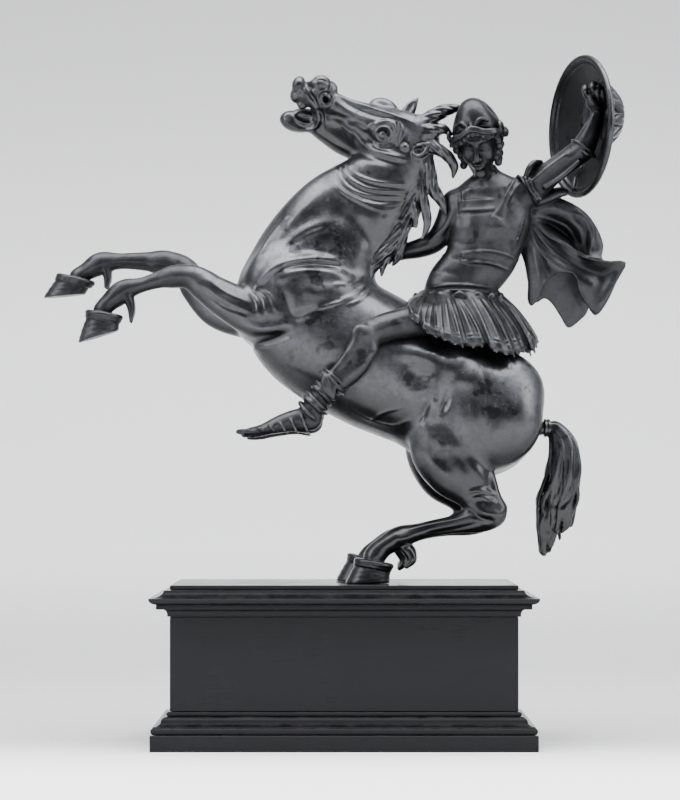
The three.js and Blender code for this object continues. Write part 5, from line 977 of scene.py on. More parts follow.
def rider_legs(clay):
    for side in (-1, 1):
        y = side * 48
        sweep(clay, [
            (82, 314, 14, side * 20, 13), (62, 314, 13.5, side * 31, 12), (44, 311, 12.5, side * 39, 11),
            (28, 307, 11.5, side * 44, 10.5), (15, 301, 10.5, y, 10),
        ], 4)
        sweep(clay, [
            (16, 300, 11, y, 10), (10, 286, 11, y, 9.5), (3, 275, 10.5, y, 9), (-8, 265, 8.5, y, 8),
            (-18, 256, 8.5, y, 8), (-24, 246, 9, y, 8),
        ], 3)
        ball(clay, (12, y + side * 7, 303), (7, 6.5, 4), 3)
        # shin and calf
        for path in (
            [(8, 6, 295, 3.4), (-3, 5.6, 280, 3), (-14, 4.6, 268, 2.6)],
            [(20, 4, 291, 4.4), (11, 5, 277, 4.6), (0, 4, 266, 3)],
        ):
            rope(clay, [(x, y + side * out, z, r) for x, out, z, r in path], 5)
        sweep(clay, [
            (-24, 240, 9.5, y, 7), (-34, 240, 9, y, 7), (-46, 237, 8, y, 7.5), (-60, 232.5, 5.5, y, 8),
            (-72, 230.5, 3.8, y, 7),
        ], 3)
        sweep(clay, [
            (-25, 230.5, 1.9, y, 8), (-38, 231.5, 1.9, y, 7.5), (-52, 230, 2, y, 8.5), (-64, 227.5, 2, y, 9),
            (-75, 228, 1.9, y, 7),
        ], 0.5)
        # toes, ankle straps and laces
        for i in range(5):
            ball(clay, (-76 + 1.3 * i, y + side * (-6 + 3 * i), 231.4), (3.4, 2.1, 1.7), 0.4)
        for i in range(6):
            x, z, swing = -10 - 3.2 * i, 265.5 - 3.9 * i, 1.6 * (-1) ** i
            rope(clay, ring(20, lambda t: (
                x - 6.2 * np.cos(t), y + 8.6 * np.sin(t),
                z + 6.2 * np.cos(t) + swing * np.sin(t) * side, 1.6)), 0.6, 1)
        for i in range(5):
            x, top = -32 - 8 * i, 248.5 - 4.5 * i
            rope(clay, [
                (x + 5, y + side * 7.6, 232, 0.9), (x + 2, y + side * 7.8, 240 - 1.6 * i, 1.0),
                (x, y, top, 1.1), (x + 2, y - side * 7.8, 240 - 1.6 * i, 1.0),
                (x + 5, y - side * 7.6, 232, 0.9)], 0.4)
        # cuff with a leaf hanging over it
        for lift, r in ((0, 1.9), (2.6, 1.2)):
            rope(clay, ring(20, lambda t: (
                -8.5 + lift - 8 * np.cos(t), y + 9.6 * np.sin(t), 267 + lift + 7.2 * np.cos(t), r)), 0.6, 1)
        leaf = Frame((-11, y + side * 9, 264), (0.35, 0, -1), (1, 0, 0.35))
        limb(clay, leaf, [
            (-8, 0, 3, 0, 1.6), (-2, 0, 5.6, side, 1.9), (4, 0, 4.4, side, 1.8), (11, 0, 0.8, 0, 1.2),
        ], 0.5)
        rope(clay, leaf.rows([(-8, 0, side * 2, 0.7), (0, 0, side * 3, 0.8), (9, 0, side * 1.6, 0.5)]), 0.4)


print("legs of the rider ready")

# %% [markdown]
# The right hand grips the mane and the left lifts the shield by its strap. Fingers are ropes
# in three joints.

# %% Arms


def rider_arms(clay):
    sweep(clay, [
        (83, 404, 11, 0, 11), (78, 390, 10.5, 2, 9.5), (69, 376, 9.5, 4, 9), (56, 370, 8.5, 6, 8),
        (42, 367, 7.2, 6, 7), (35, 365, 6.5, 6, 7),
    ], 3)
    for k in range(4):
        rope(clay, [
            (33, -2 + 4 * k, 370, 2.2), (28, -2 + 4 * k, 366, 2.2), (29, -2 + 4 * k, 361, 2.0),
            (34, -1 + 4 * k, 360, 1.8)], 0.5)
    rope(clay, [(82, -10, 398, 1.6), (76, -7, 385, 1.6), (66, -3, 375, 1.4)], 2.5)
    # raised arm, and the fist round the strap of the shield
    sweep(clay, [
        (133, 410, 13, 0, 12), (143, 416, 11.8, -1, 11), (154, 425, 10.8, -3, 10.5), (166, 434, 10, -5, 10),
        (178, 442.5, 9.5, -8, 9.5),
    ], 4)
    sweep(clay, [
        (177, 442, 9.6, -8, 9.5), (181.5, 450, 9, -9.5, 9), (184.5, 458, 7.8, -11, 8),
        (187.4, 466, 5.6, -13, 6), (188, 471, 5.4, -14, 5.6),
    ], 3)
    rope(clay, [(140, -11, 418, 2), (152, -12.5, 428, 2.4), (164, -14, 437, 1.8)], 3)
    rope(clay, [(150, -12, 414, 1.6), (162, -14, 422, 2), (174, -16, 432, 1.6)], 3)
    rope(clay, [(176, -17, 448, 1.6), (181, -18, 457, 1.5), (185, -18, 467, 1.2)], 2)
    ball(clay, (187, -14, 477.5), (7.6, 8, 6), 2)
    for x, z in ((179, 485.2), (184.4, 487), (188.2, 483), (192.6, 482.6)):
        rope(clay, [
            (x + 1.6, -13, z + 3.6, 2.3), (x, -19, z + 2, 2.5), (x - 0.8, -22.4, z - 1, 2.5),
            (x + 0.6, -20, z - 4.6, 2.2)], 0.4)
    rope(clay, [(188, -19, 472, 2.4), (183.6, -21.6, 475.5, 2.4), (181.8, -21.4, 480, 2.0)], 0.5)
    # bands at elbow and armpit
    rope(clay, ring(24, lambda t: (
        178.6 - 8.2 * np.cos(t), -8 + 10.2 * np.sin(t), 443 + 6.2 * np.cos(t), 1.2)), 0.5, 1)
    rope(clay, [(176, -17, 441, 1.0), (180, -18.6, 437.6, 1.1), (185, -16, 436.6, 1.0)], 0.5)
    for i in (0, 1):
        rope(clay, ring(24, lambda t: (
            137 + 4 * i - (7 - 3 * i) * np.cos(t), -1 + 12.6 * np.sin(t),
            412.4 + 0.6 * i + (11 - i) * np.cos(t), 1.3)), 0.6, 1)
    # knot on the shoulder and cloth under the arm
    for k in (-1, 0, 1):
        rope(clay, [
            (135, -5 + 3 * k, 420, 2.2), (139 + k, -6 + 3 * k, 428, 2.6), (143 + k, -5 + 2 * k, 432.6, 2.4),
            (147.4, -4, 434, 1.0)], 0.7)
        rope(clay, [
            (142, 1 + 3.4 * k, 404 + k, 3.6), (152, 1 + 3.6 * k, 408 + 1.4 * k, 3.6),
            (161, 0 + 2.6 * k, 411.4 + k, 3.4), (165.4, 0 + k, 411.4, 2.6)], 1)
    rope(clay, [(134.6, -14, 421, 1.0), (138, -15.4, 412, 1.2), (143.6, -14, 404.4, 1.0)], 0.5)
    rope(clay, [(137.6, -14, 420, 1.0), (141, -15, 412.6, 1.1), (146, -13.4, 405, 1.0)], 0.5)


print("arms ready")

# %% [markdown]
# For the head, u is up, v looks ahead and w goes to the side. The helmet is of the old Greek
# sort with eye slits, pushed back so that its brim lies on the curls.

# %% Head and helmet
BOW, TURN = np.radians(25), np.radians(-10)
FACE = Frame(
    (100.5, -9, 446.7),
    (-0.16, -np.sin(BOW), np.cos(BOW)),
    (np.sin(TURN), -np.cos(TURN) * np.cos(BOW), -np.sin(BOW)),
)
HEAD_SIZE = 1.08


def face_ball(clay, centre, radii, blend, cut=False):
    """An ellipsoid in the frame of the face, in parts of the head's size."""
    ball(clay, np.multiply(centre, HEAD_SIZE), np.multiply(radii, HEAD_SIZE), blend, cut, FACE)


def face_rope(clay, rows, blend, steps=5):
    """A rope in the frame of the face, in parts of the head's size."""
    rope(clay, FACE.rows(np.multiply(rows, HEAD_SIZE).tolist()), blend, steps)


def brim(t, out=0.0):
    """A place on the edge of the helmet, in the helmet's frame, t being 0 in front."""
    drop = 12.5 * np.sin(t) ** 2 if np.cos(t) > 0 else 12.5 - 2.5 * np.cos(t)
    lobes = 1.1 * np.cos(7 * t)
    return 1.5 - drop + lobes, -1 + (21 + out) * np.cos(t), (20.4 + out) * np.sin(t)


def rider_head(clay):
    # bowl of the helmet, opened for the face before the head is put in
    helmet = Frame(FACE.at(15.5, -2, 1.2), FACE.axes @ (1, 0, 0.1), FACE.axes[:, 1])
    limb(clay, helmet, [
        (-17, -1, 18, 0, 17.5), (-10, -1, 19.6, 0, 18.6), (-3, -1, 19.4, 0, 18.2), (3, -1, 16, 0, 14.6),
        (8, -1, 11, 0, 9.6), (11, -1, 5.4, 0, 4.6),
    ], 0.6)
    ball(clay, (-12.5, 15, 0), (14, 20, 17.5), 0.6, cut=True, frame=helmet)
    ball(clay, (-24, 4, 0), (13, 26, 26), 0.6, cut=True, frame=helmet)
    face_ball(clay, (4, -2, 0), (19, 17, 13.5), 1)
    limb(clay, FACE, [
        (2, 3.2, 13, 0, 12.2), (-8.6, 4.3, 10.3, 0, 11.2), (-17.3, 6, 6.5, 0, 8.1), (-20.5, 7, 4.9, 0, 5.4),
    ], 3)
    for side in (-1, 1):
        face_ball(clay, (-5, 9, side * 6.5), (5, 4, 4), 3)
        face_rope(clay, [
            (5.5, 14.3, side * 1.8, 1.4), (6.5, 13.7, side * 5.5, 1.5), (4.8, 11.1, side * 9.5, 1.2)], 1.5)
        face_ball(clay, (1.2, 14.6, side * 5.2), (2.7, 2.9, 3.7), 1.2, cut=True)
        face_ball(clay, (1.2, 11, side * 5), (2.4, 2.5, 2.9), 0.3)
        for lid in (
            [(1.4, 12.7, 2.2, 0.6), (3.3, 13.1, 5, 0.8), (1.6, 11.7, 8.2, 0.6)],
            [(1.0, 12.5, 2.3, 0.5), (-0.8, 12.7, 5, 0.6), (1.2, 11.5, 8, 0.5)],
        ):
            face_rope(clay, [(u, v, side * w, r) for u, v, w, r in lid], 0.4)
        face_ball(clay, (-6.6, 15.6, side * 2.3), (1.6, 2, 1.5), 0.8)
    face_rope(clay, [(5.5, 13.4, 0, 1.5), (1, 15.3, 0, 1.4), (-3.5, 17.3, 0, 1.7), (-6, 17.9, 0, 2)], 1.5)
    face_ball(clay, (-11.5, 11.5, 0), (4.5, 4, 5), 2)
    face_rope(clay, [
        (-11.2, 13.5, -4.2, 0.6), (-10.3, 15.4, -1.5, 1.1), (-10.6, 15.5, 0, 0.9), (-10.3, 15.4, 1.5, 1.1),
        (-11.2, 13.5, 4.2, 0.6)], 0.4)
    face_rope(clay, [
        (-12, 13.4, -3.5, 0.6), (-13, 14.9, -1.2, 1.2), (-13, 14.9, 1.2, 1.2), (-12, 13.4, 3.5, 0.6)], 0.4)
    face_ball(clay, (-18.3, 11, 0), (3.4, 3.2, 4), 2)
    # crest, lobed brim, eye slits under their brows, and a volute at each temple
    crest = [
        (0, 19.4), (4, 17.6), (8.4, 13), (11.6, 7), (12.8, 0), (11.4, -7), (7, -14), (0, -19.4), (-8, -20),
    ]
    rope(clay, helmet.rows([(u, -1 + v, 0, 1.5) for u, v in crest]), 1.2, 4)
    for out, thick, lower in ((0, 1.9, 0), (1.6, 1.1, 1.6)):
        edge = [brim(np.radians(a), out) for a in range(0, 361, 8)]
        rope(clay, helmet.rows([(u - lower, v, w, thick) for u, v, w in edge]), 0.7, 1)
    for side in (-1, 1):
        ball(clay, (3.4, 16.6, side * 7.4), (1.5, 4, 4), 0.4, cut=True, frame=helmet)
        rope(clay, helmet.rows([
            (3.6, 17.2, side * 3.4, 0.9), (6.4, 14.2, side * 7.5, 1.1), (3.6, 12, side * 12.4, 0.9)]), 0.5)
        rope(clay, helmet.rows([
            (-5 + 4.4 * np.cos(t) * (1 - t / 13), 6 + 4.4 * np.sin(t) * (1 - t / 13),
             side * (19.6 + 0.14 * t), 1.3)
            for t in np.linspace(0, 10, 18)]), 0.4, 2)
    # curls under the brim, thick at the temples and the nape
    for k in range(-6, 7):
        t = np.radians(11 * k)
        u, v, w = brim(t, -1.6)
        for drop, size, ahead, wide in ((4.2, 3.2, -0.6, 0.96), (5.4, 1.5, 1.6, 1.02)):
            curl = (u - drop - 0.6 * np.cos(2.3 * k), v + ahead, w * wide)
            ball(clay, curl, size, 0.4, frame=helmet)
    for side in (-1, 1):
        for j in range(5):
            for i in range(3):
                u, v = 3 - 4.1 * j + 0.9 * i, 6.5 - 5 * i - 0.8 * j
                w = side * (14.4 + 1.2 * np.sin(2.2 * i + 1.7 * j) - 0.7 * j)
                face_ball(clay, (u, v, w), (3.0, 3.0, 2.8), 0.5)
                face_rope(clay, [
                    (u + 1.9 * np.cos(t), v + 1.9 * np.sin(t), w + side * (2.0 - 0.15 * t), 0.8)
                    for t in np.linspace(i + j, i + j + 5, 7)], 0.3, 2)
    for k in range(-3, 4):
        for j in range(3):
            face_ball(clay, (-2 - 4.6 * j, -12.5 + 0.5 * k * k, 3.6 * k), (3.2, 3, 2.6), 0.5)


print("head of the rider ready")

# %% [markdown]
# The cloak is thin cloth pinned at the shoulder, modelled as two layers that spread from there.
# Each layer is an outline in the front view; how far back it lies at each point comes from
# the strokes of its folds.

# %% Cloak
CLOAK_NEAR = [
    (138, 404), (147, 410), (160, 408), (172, 403), (182, 396), (190, 385), (195, 372), (194, 361),
    (212, 360), (205, 345), (198, 330), (190, 320), (184, 326), (176, 338), (174, 348), (168, 352),
    (158, 350), (150, 342), (146, 332), (141, 327), (138, 332), (138, 345), (135, 360), (131, 372),
    (132, 388),
]
CLOAK_FAR = [
    (140, 398), (165, 396), (185, 380), (190, 350), (186, 326), (180, 318), (171, 312), (165, 320),
    (158, 330), (152, 334), (146, 331), (141, 340), (138, 360),
]
FOLDS = [
    (7, 6.5, [(142, 401), (160, 400), (176, 391), (186, 378), (190, 362)]),
    (-9, 4.2, [(147, 391), (160, 386), (171, 377), (178, 366)]),
    (6, 4, [(142, 394), (153, 381), (166, 372), (181, 363), (196, 360), (212, 360)]),
    (-5, 4.5, [(146, 381), (158, 367), (174, 357), (190, 352)]),
    (6, 6, [(141, 388), (148, 372), (160, 360), (178, 351), (191, 324)]),
    (-4, 4, [(139, 384), (146, 366), (150, 350)]),
    (6, 4.5, [(136, 384), (140, 366), (143, 350), (142, 329)]),
    (5, 3.3, [(208, 356), (200, 341), (192, 325)]),
    (1.8, 1.0, [(143, 394), (158, 390.4), (170, 383), (179, 365)]),
    (1.8, 1.0, [(143, 390.4), (152, 380), (166, 372.4), (181, 363.4), (196, 360.6), (211, 360.4)]),
    (1.6, 1.0, [(141, 386), (148, 376.6), (158, 366.4), (168, 359)]),
    (1.4, 0.9, [(139, 383), (144, 372), (152, 362)]),
    (1.6, 1.0, [(175.6, 396), (183.6, 388.6), (186.6, 378), (185.6, 365)]),
    (-2.4, 1.6, [(172, 394), (180, 386), (182, 374), (181, 366)]),
]


def outline_distance(x, z, outline):
    """Signed distance in the front view to a closed outline, negative inside."""
    square = np.full(np.broadcast(x, z).shape, 1e9, np.float32)
    inside = np.zeros(square.shape, bool)
    for (ax, az), (bx, bz) in zip(outline, np.roll(outline, -1, 0)):
        dx, dz = bx - ax, bz - az
        t = np.clip(((x - ax) * dx + (z - az) * dz) / max(dx * dx + dz * dz, 1e-9), 0, 1)
        square = np.minimum(square, (x - ax - t * dx) ** 2 + (z - az - t * dz) ** 2)
        inside ^= ((az > z) != (bz > z)) & (x < dx * (z - az) / (dz if dz else 1e-9) + ax)
    return np.where(inside, -np.sqrt(square), np.sqrt(square))


def cloak(clay):
    w = clay.window((128, -16, 306), (218, 52, 416))
    x, y, z = clay.axis(0, w)[:, None], clay.axis(1, w)[None, :, None], clay.axis(2, w)[None, :]
    away = np.sqrt((x - 138) ** 2 + (z - 398) ** 2)  # from the pin on the shoulder
    folds = stroke_map(clay, FOLDS)[w[0], w[2]]
    for outline, base, lean, depth in ((CLOAK_NEAR, 2, 0.13, 1), (CLOAK_FAR, 6, 0.3, -0.25)):
        edge = outline_distance(x, z, smooth([*outline, outline[0]], 3)[:-1])
        middle = base + lean * away - depth * folds
        thick = 1.35 + 0.006 * away
        gx, gz = np.gradient(middle, clay.cell)
        slope = np.sqrt(1 + gx * gx + gz * gz)
        d = np.abs(y - middle[:, None, :]) / slope[:, None, :] - thick[:, None, :]
        clay.join(w, np.maximum(d, edge[:, None, :]).astype(np.float32), 1.2)
    rope(clay, [(136, 4, 400, 5), (138, 8, 385, 5), (140, 14, 368, 4), (142, 20, 350, 3)], 3)
    rope(clay, [(150, 8, 400, 4), (176, 12, 390, 4), (188, 20, 370, 4)], 3)


def rider():
    clay = Clay((-84, -62, 224), (218, 62, 500), FINE_CELL)
    torso(clay)
    rider_legs(clay)
    cloak(clay)
    rider_arms(clay)
    skirt(clay)
    rider_head(clay)
    return clay


rider_clay = rider()
print("rider", rider_clay.shape, "samples")

# %% [markdown]
# The shield is a round dish seen from its hollow side. Its face, turned away, carries a boss with a ring of
# curls; inside are the split ends of the straps and a raised rim.

# %% Shield
SHIELD = Frame((177.4, 0, 460.6), (0, 0, 1), (-0.938, -0.346, 0))  # v looks out of the hollow side
RADIUS, DISH, HALF_THICK = 52, 14, 1.7


def dish_height(out):
    """Height over the rim's plane of the middle of the plate, by distance from the centre."""
    return -DISH * (1 - np.minimum(out / RADIUS, 1) ** 2)


def shield():
    clay = Clay((145, -58, 400), (218, 60, 522), FINE_CELL)
    x, y, z = clay.axes(clay.whole(), SHIELD.origin)
    high = x * SHIELD.axes[0, 1] + y * SHIELD.axes[1, 1]
    side = x * SHIELD.axes[0, 2] + y * SHIELD.axes[1, 2]
    out = np.sqrt(side * side + z * z)
    d = np.maximum(np.abs(high - dish_height(out)) - HALF_THICK, out - RADIUS)
    clay.join(clay.whole(), d.astype(np.float32), 0)
    for r, lift, thick in ((RADIUS - 1, 0.3, 2.3), (RADIUS - 5.5, -1.0, 1.1)):
        rope(clay, SHIELD.rows(ring(48, lambda t: (r * np.cos(t), lift, r * np.sin(t), thick))), 0.7, 1)
    # ends of the leather straps, split and curled, on the hollow side
    for path, spread in (
        ([(28, -34), (29, -26), (25, -18), (22, -10)], 1.7),
        ([(3, -43), (6, -37), (0, -26), (-10, -18)], 2.0),
        ([(-30, 12), (-36, 16), (-46, 12)], 1.5), ([(4, 14), (10, 17), (0, 20)], 1.4),
    ):
        for k in (-1, 0, 1):
            rope(clay, SHIELD.rows([
                (up + spread * k, dish_height(np.hypot(up, along)) + 2.2 + 0.5 * (k == 0), along,
                 1.7 - 0.4 * abs(k))
                for up, along in path]), 0.6)
    # boss and curls on the outer side
    ball(clay, (9, -17, 0), (22, 13, 17), 3, frame=SHIELD)
    curl = [(4, -29.6, 3.0), (11, -27, 3.4), (18, -19, 2.6), (21, -14, 1.8)]
    for k in range(12):
        t = 2 * np.pi * k / 12
        for turn in (-0.12, 0.12):
            rope(clay, SHIELD.rows([
                (9 + 1.25 * r * np.cos(t + turn * j), deep, r * np.sin(t + turn * j), thick)
                for j, (r, deep, thick) in enumerate(curl)]), 0.6)
    return clay


shield_clay = shield()
print("shield", shield_clay.shape, "samples")

# %% [markdown]
# ## From clay to bronze
#
# The founder's job. Each cast is cut back where it sits on its neighbour, and its surface is
# taken from the field: one point in every cell that the surface crosses, one quad across every
# edge between inside and outside. Samples that touch only across a diagonal are joined
# first, since the skin would pinch there. The flat parts then give up the triangles they
# do not need.

# %% Casting


def make_room(clay, other, gap):
    """Cuts away what lies inside another cast or closer to it than gap."""
    w = clay.window(other.low, other.low + other.cell * (np.array(other.shape) - 1))
    near = other.d
    for k in range(3):
        f = np.clip((clay.axis(k, w) - other.low[k]) / other.cell, 0, other.shape[k] - 1.001)
        i = f.astype(int)
        t = (f - i).astype(np.float32).reshape([-1 if a == k else 1 for a in range(3)])
        near = np.take(near, i, k) * (1 - t) + np.take(near, i + 1, k) * t
    clay.d[w] = np.maximum(clay.d[w], gap - near)


def untie(clay):
    """Joins samples that are inside and touch only across a diagonal of their cell."""
    for _ in range(3):
        for a, b in ((0, 1), (0, 2), (1, 2)):
            parts = []
            for i, j in ((0, 0), (1, 0), (0, 1), (1, 1)):
                cut = [slice(None)] * 3
                cut[a] = slice(i, clay.shape[a] - 1 + i)
                cut[b] = slice(j, clay.shape[b] - 1 + j)
                parts.append(clay.d[tuple(cut)])
            p, q, r, s = (part < 0 for part in parts)
            parts[1][p & s & ~q & ~r] = -0.02
            parts[0][q & r & ~p & ~s] = -0.02


def skin(clay):
    """Points and quads of the surface where the field is zero."""
    inside = clay.d < 0
    corners = [(i, j, k) for i in (0, 1) for j in (0, 1) for k in (0, 1)]
    count = sum(
        inside[tuple(slice(c, n - 1 + c) for c, n in zip(corner, clay.shape))].astype(np.uint8)
        for corner in corners)
    cells = np.argwhere((count > 0) & (count < 8))
    index = np.full(count.shape, -1, np.int32)
    index[tuple(cells.T)] = np.arange(len(cells))
    value = {c: clay.d[tuple((cells + c).T)] for c in corners}
    total, number = np.zeros((len(cells), 3)), np.zeros((len(cells), 1))
    for c in corners:
        for axis in range(3):
            if c[axis]:
                continue
            a, b = value[c], value[tuple(1 if k == axis else c[k] for k in range(3))]
            cut = (a < 0) != (b < 0)
            point = np.tile(np.array(c, float), (cut.sum(), 1))
            point[:, axis] = a[cut] / (a[cut] - b[cut])
            total[cut] += point
            number[cut] += 1
    quads = []
    for axis in range(3):
        first = [slice(1, n - 1) for n in clay.shape]
        second = list(first)
        first[axis] = slice(0, clay.shape[axis] - 1)
        second[axis] = slice(1, clay.shape[axis])
        a, b = inside[tuple(first)], inside[tuple(second)]
        at = np.argwhere(a != b)
        leaving = a[tuple(at.T)] != (axis == 1)
        at += [s.start for s in first]
        one, two = np.eye(3, dtype=int)[[k for k in range(3) if k != axis]]
        around = [at - one - two, at - two, at, at - one]
        quad = np.stack([index[tuple(c.T)] for c in around], 1)
        quads.append(np.where(leaving[:, None], quad, quad[:, ::-1]))
    return clay.low + (cells + total / number) * clay.cell, np.concatenate(quads)


def largest(points, quads):
    """The body with the most points, without crumbs and sealed bubbles."""
    label = np.arange(len(points))
    a = quads[:, [0, 1, 2]].ravel()
    b = quads[:, [1, 2, 3]].ravel()
    while True:
        low = np.minimum(label[a], label[b])
        new = label.copy()
        np.minimum.at(new, a, low)
        np.minimum.at(new, b, low)
        new = new[new]
        if (new == label).all():
            break
        label = new
    kept = label == np.bincount(label).argmax()
    number = np.cumsum(kept) - 1
    return points[kept], number[quads[kept[quads[:, 0]]]]


def plain_mesh(name, points, faces):
    """A mesh from arrays of points and of faces with equal numbers of corners."""
    mesh = bpy.data.meshes.new(name)
    faces = np.asarray(faces, np.int32)
    mesh.vertices.add(len(points))
    mesh.vertices.foreach_set("co", np.asarray(points, np.float32).ravel())
    mesh.loops.add(faces.size)
    mesh.loops.foreach_set("vertex_index", faces.ravel())
    mesh.polygons.add(len(faces))
    mesh.polygons.foreach_set("loop_start", np.arange(0, faces.size, faces.shape[1], dtype=np.int32))
    mesh.update(calc_edges=True)
    return mesh


def add_object(name, mesh):
    piece = bpy.data.objects.new(name, mesh)
    bpy.context.scene.collection.objects.link(piece)
    return piece


def bake(piece):
    """Turns what the modifiers make into the piece's own plain mesh."""
    bpy.context.view_layer.update()
    made = piece.evaluated_get(bpy.context.evaluated_depsgraph_get())
    mesh = bpy.data.meshes.new_from_object(made)
    mesh.name = piece.name
    piece.modifiers.clear()
    piece.data = mesh


def part_of(piece, slot, *nodes):
    """Attaches a piece to the root body and hides the CAD nodes it stands for; what the piece is made of is
    given but not used.
    """
    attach(piece, "root")
    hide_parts(*nodes)


LOW, HIGH = (np.array(corner) / MM for corner in cad_box)
LIFT = -0.2  # from the sculpture's height to the plinth's


def cast(node, clay, triangles):
    """The finished cast of a clay, with about so many triangles at most."""
    untie(clay)
    points, quads = largest(*skin(clay))
    points = np.clip(points + [0, 0, LIFT], LOW, HIGH)
    piece = add_object(node + "_cast", plain_mesh(node + "_cast", points * MM, quads))
    if 2 * len(quads) > triangles:
        fewer = piece.modifiers.new("fewer", "DECIMATE")
        fewer.ratio = triangles / (2 * len(quads))
        bake(piece)
    piece.data.shade_smooth()
    part_of(piece, "bronze", node)
    print(node, 2 * len(quads), "triangles, kept", sum(len(p.vertices) - 2 for p in piece.data.polygons))
    return piece


SEAM = 0.3  # gap between two casts
make_room(rider_clay, horse_clay, SEAM)
make_room(rider_clay, shield_clay, SEAM)
make_room(tail_clay, horse_clay, SEAM)
horse_cast = cast("horse", horse_clay, 190000)
tail_cast = cast("horse_tail", tail_clay, 40000)
rider_cast = cast("rider", rider_clay, 190000)
shield_cast = cast("shield", shield_clay, 60000)
casts = [horse_cast, tail_cast, rider_cast, shield_cast]

# %% [markdown]
# Shade is painted into hollows, and ridges are rubbed lighter. A coarse grid of how full of metal each cell
# is, evened out over small and large cubes, tells for each point which it is, and how much nearby metal of
# any cast shuts it in. The answers are kept in the mesh for the bronze to use.

# %% Hollows and ridges
GRAIN = 1.2  # size of the grid's cells
MARGIN = 12  # of empty cells round the casts, in millimetres


def gather(clays):
    """The low corner of the grid, and how full each of its cells is."""
    low = np.min([c.low for c in clays], 0) - MARGIN
    high = np.max([c.low + c.cell * np.array(c.shape) for c in clays], 0) + MARGIN
    full = np.zeros(np.ceil((high - low) / GRAIN).astype(int), np.float32)
    for c in clays:
        places = [low[k] + GRAIN * np.arange(n) for k, n in enumerate(full.shape)]
        at = [np.round((place - c.low[k]) / c.cell).astype(int) for k, place in enumerate(places)]
        hit = [np.flatnonzero((i >= 0) & (i < n)) for i, n in zip(at, c.shape)]
        part = c.d[np.ix_(*(i[h] for i, h in zip(at, hit)))]
        full[np.ix_(*hit)] = np.maximum(full[np.ix_(*hit)], np.clip(0.5 - part / GRAIN, 0, 1))
    return low, full


def evened(full, reach):
    """The mean over cubes that reach so many cells each way."""
    width = 2 * reach + 1
    for k in range(3):
        n = full.shape[k]
        pads = [(reach + 1, reach) if a == k else (0, 0) for a in range(3)]
        total = np.cumsum(np.pad(full, pads), k, dtype=np.float32)
        full = (np.take(total, range(width, width + n), k) - np.take(total, range(n), k)) / width
    return full


def read_at(grid, low, points):
    """Values of a grid at points, from the eight samples round each."""
    f = np.clip((points - low) / GRAIN, 0, np.array(grid.shape) - 1.001)
    i = f.astype(int)
    t = f - i
    total = 0.0
    for a in (0, 1):
        for b in (0, 1):
            for c in (0, 1):
                share = abs(1 - a - t[:, 0]) * abs(1 - b - t[:, 1]) * abs(1 - c - t[:, 2])
                total = total + share * grid[i[:, 0] + a, i[:, 1] + b, i[:, 2] + c]
    return total


def keep(mesh, name, values):
    """Stores one value for each point of a mesh."""
    mesh.attributes.new(name, "FLOAT", "POINT").data.foreach_set("value", values.astype(np.float32))


def extra_darkening(piece, points, away):
    """How much darker a cast is painted besides its hollows: the whole rider in a darker tone, and painted
    shade on the forelegs and in the shield's dish.
    """
    if piece is rider_cast:
        return 0.24
    if piece is horse_cast:  # painted shade on the forelegs
        return 0.26 * np.clip((-95 - points[:, 0]) / 25, 0, 1)
    if piece is shield_cast:  # painted shade in the dish
        return 0.4 * np.clip(away @ SHIELD.axes[:, 1], 0, 1)
    return 0.0


metal_low, metal = gather([horse_clay, tail_clay, rider_clay, shield_clay])
tight, middling, broad = (evened(metal, reach) for reach in (1, 2, 6))
for piece in casts:
    mesh = piece.data
    points, away = np.zeros((2, len(mesh.vertices), 3), np.float32)
    mesh.vertices.foreach_get("co", points.ravel())
    mesh.vertex_normals.foreach_get("vector", away.ravel())
    points = points / MM - [0, 0, LIFT]
    rubbed = 0.25 if piece is rider_cast else 0.3
    ridge = 0.5 + rubbed * (0.40 - read_at(tight, metal_low, points))
    # how shut in each point is by nearby metal, its own or a neighbour's, for painted shade
    crevice = read_at(middling, metal_low, points + 2.2 * away)
    shelter = read_at(broad, metal_low, points + 8 * away)
    # hollow: how much painted shade a point gets, from crevices, shelter under neighbouring parts and extra
    # darkening
    hollow = 0.5 * crevice + 0.45 * shelter + extra_darkening(piece, points, away)
    for name, values in (("ridge", ridge), ("hollow", hollow)):
        keep(mesh, name, values)
        print(piece.name, name, np.percentile(values, (5, 50, 95)).round(3))

# %% [markdown]
# ## The plinth
#
# A cabinetmaker would plane each moulding in one long length, cut it at 45 degrees and plant
# it round a plain carcass. The node tree does just that: it draws out a section along
# one side, moves its ends out to the mitre, and sets four such lengths round the block. The die is
# made of four boards in the same way.

# %% Mitred lengths


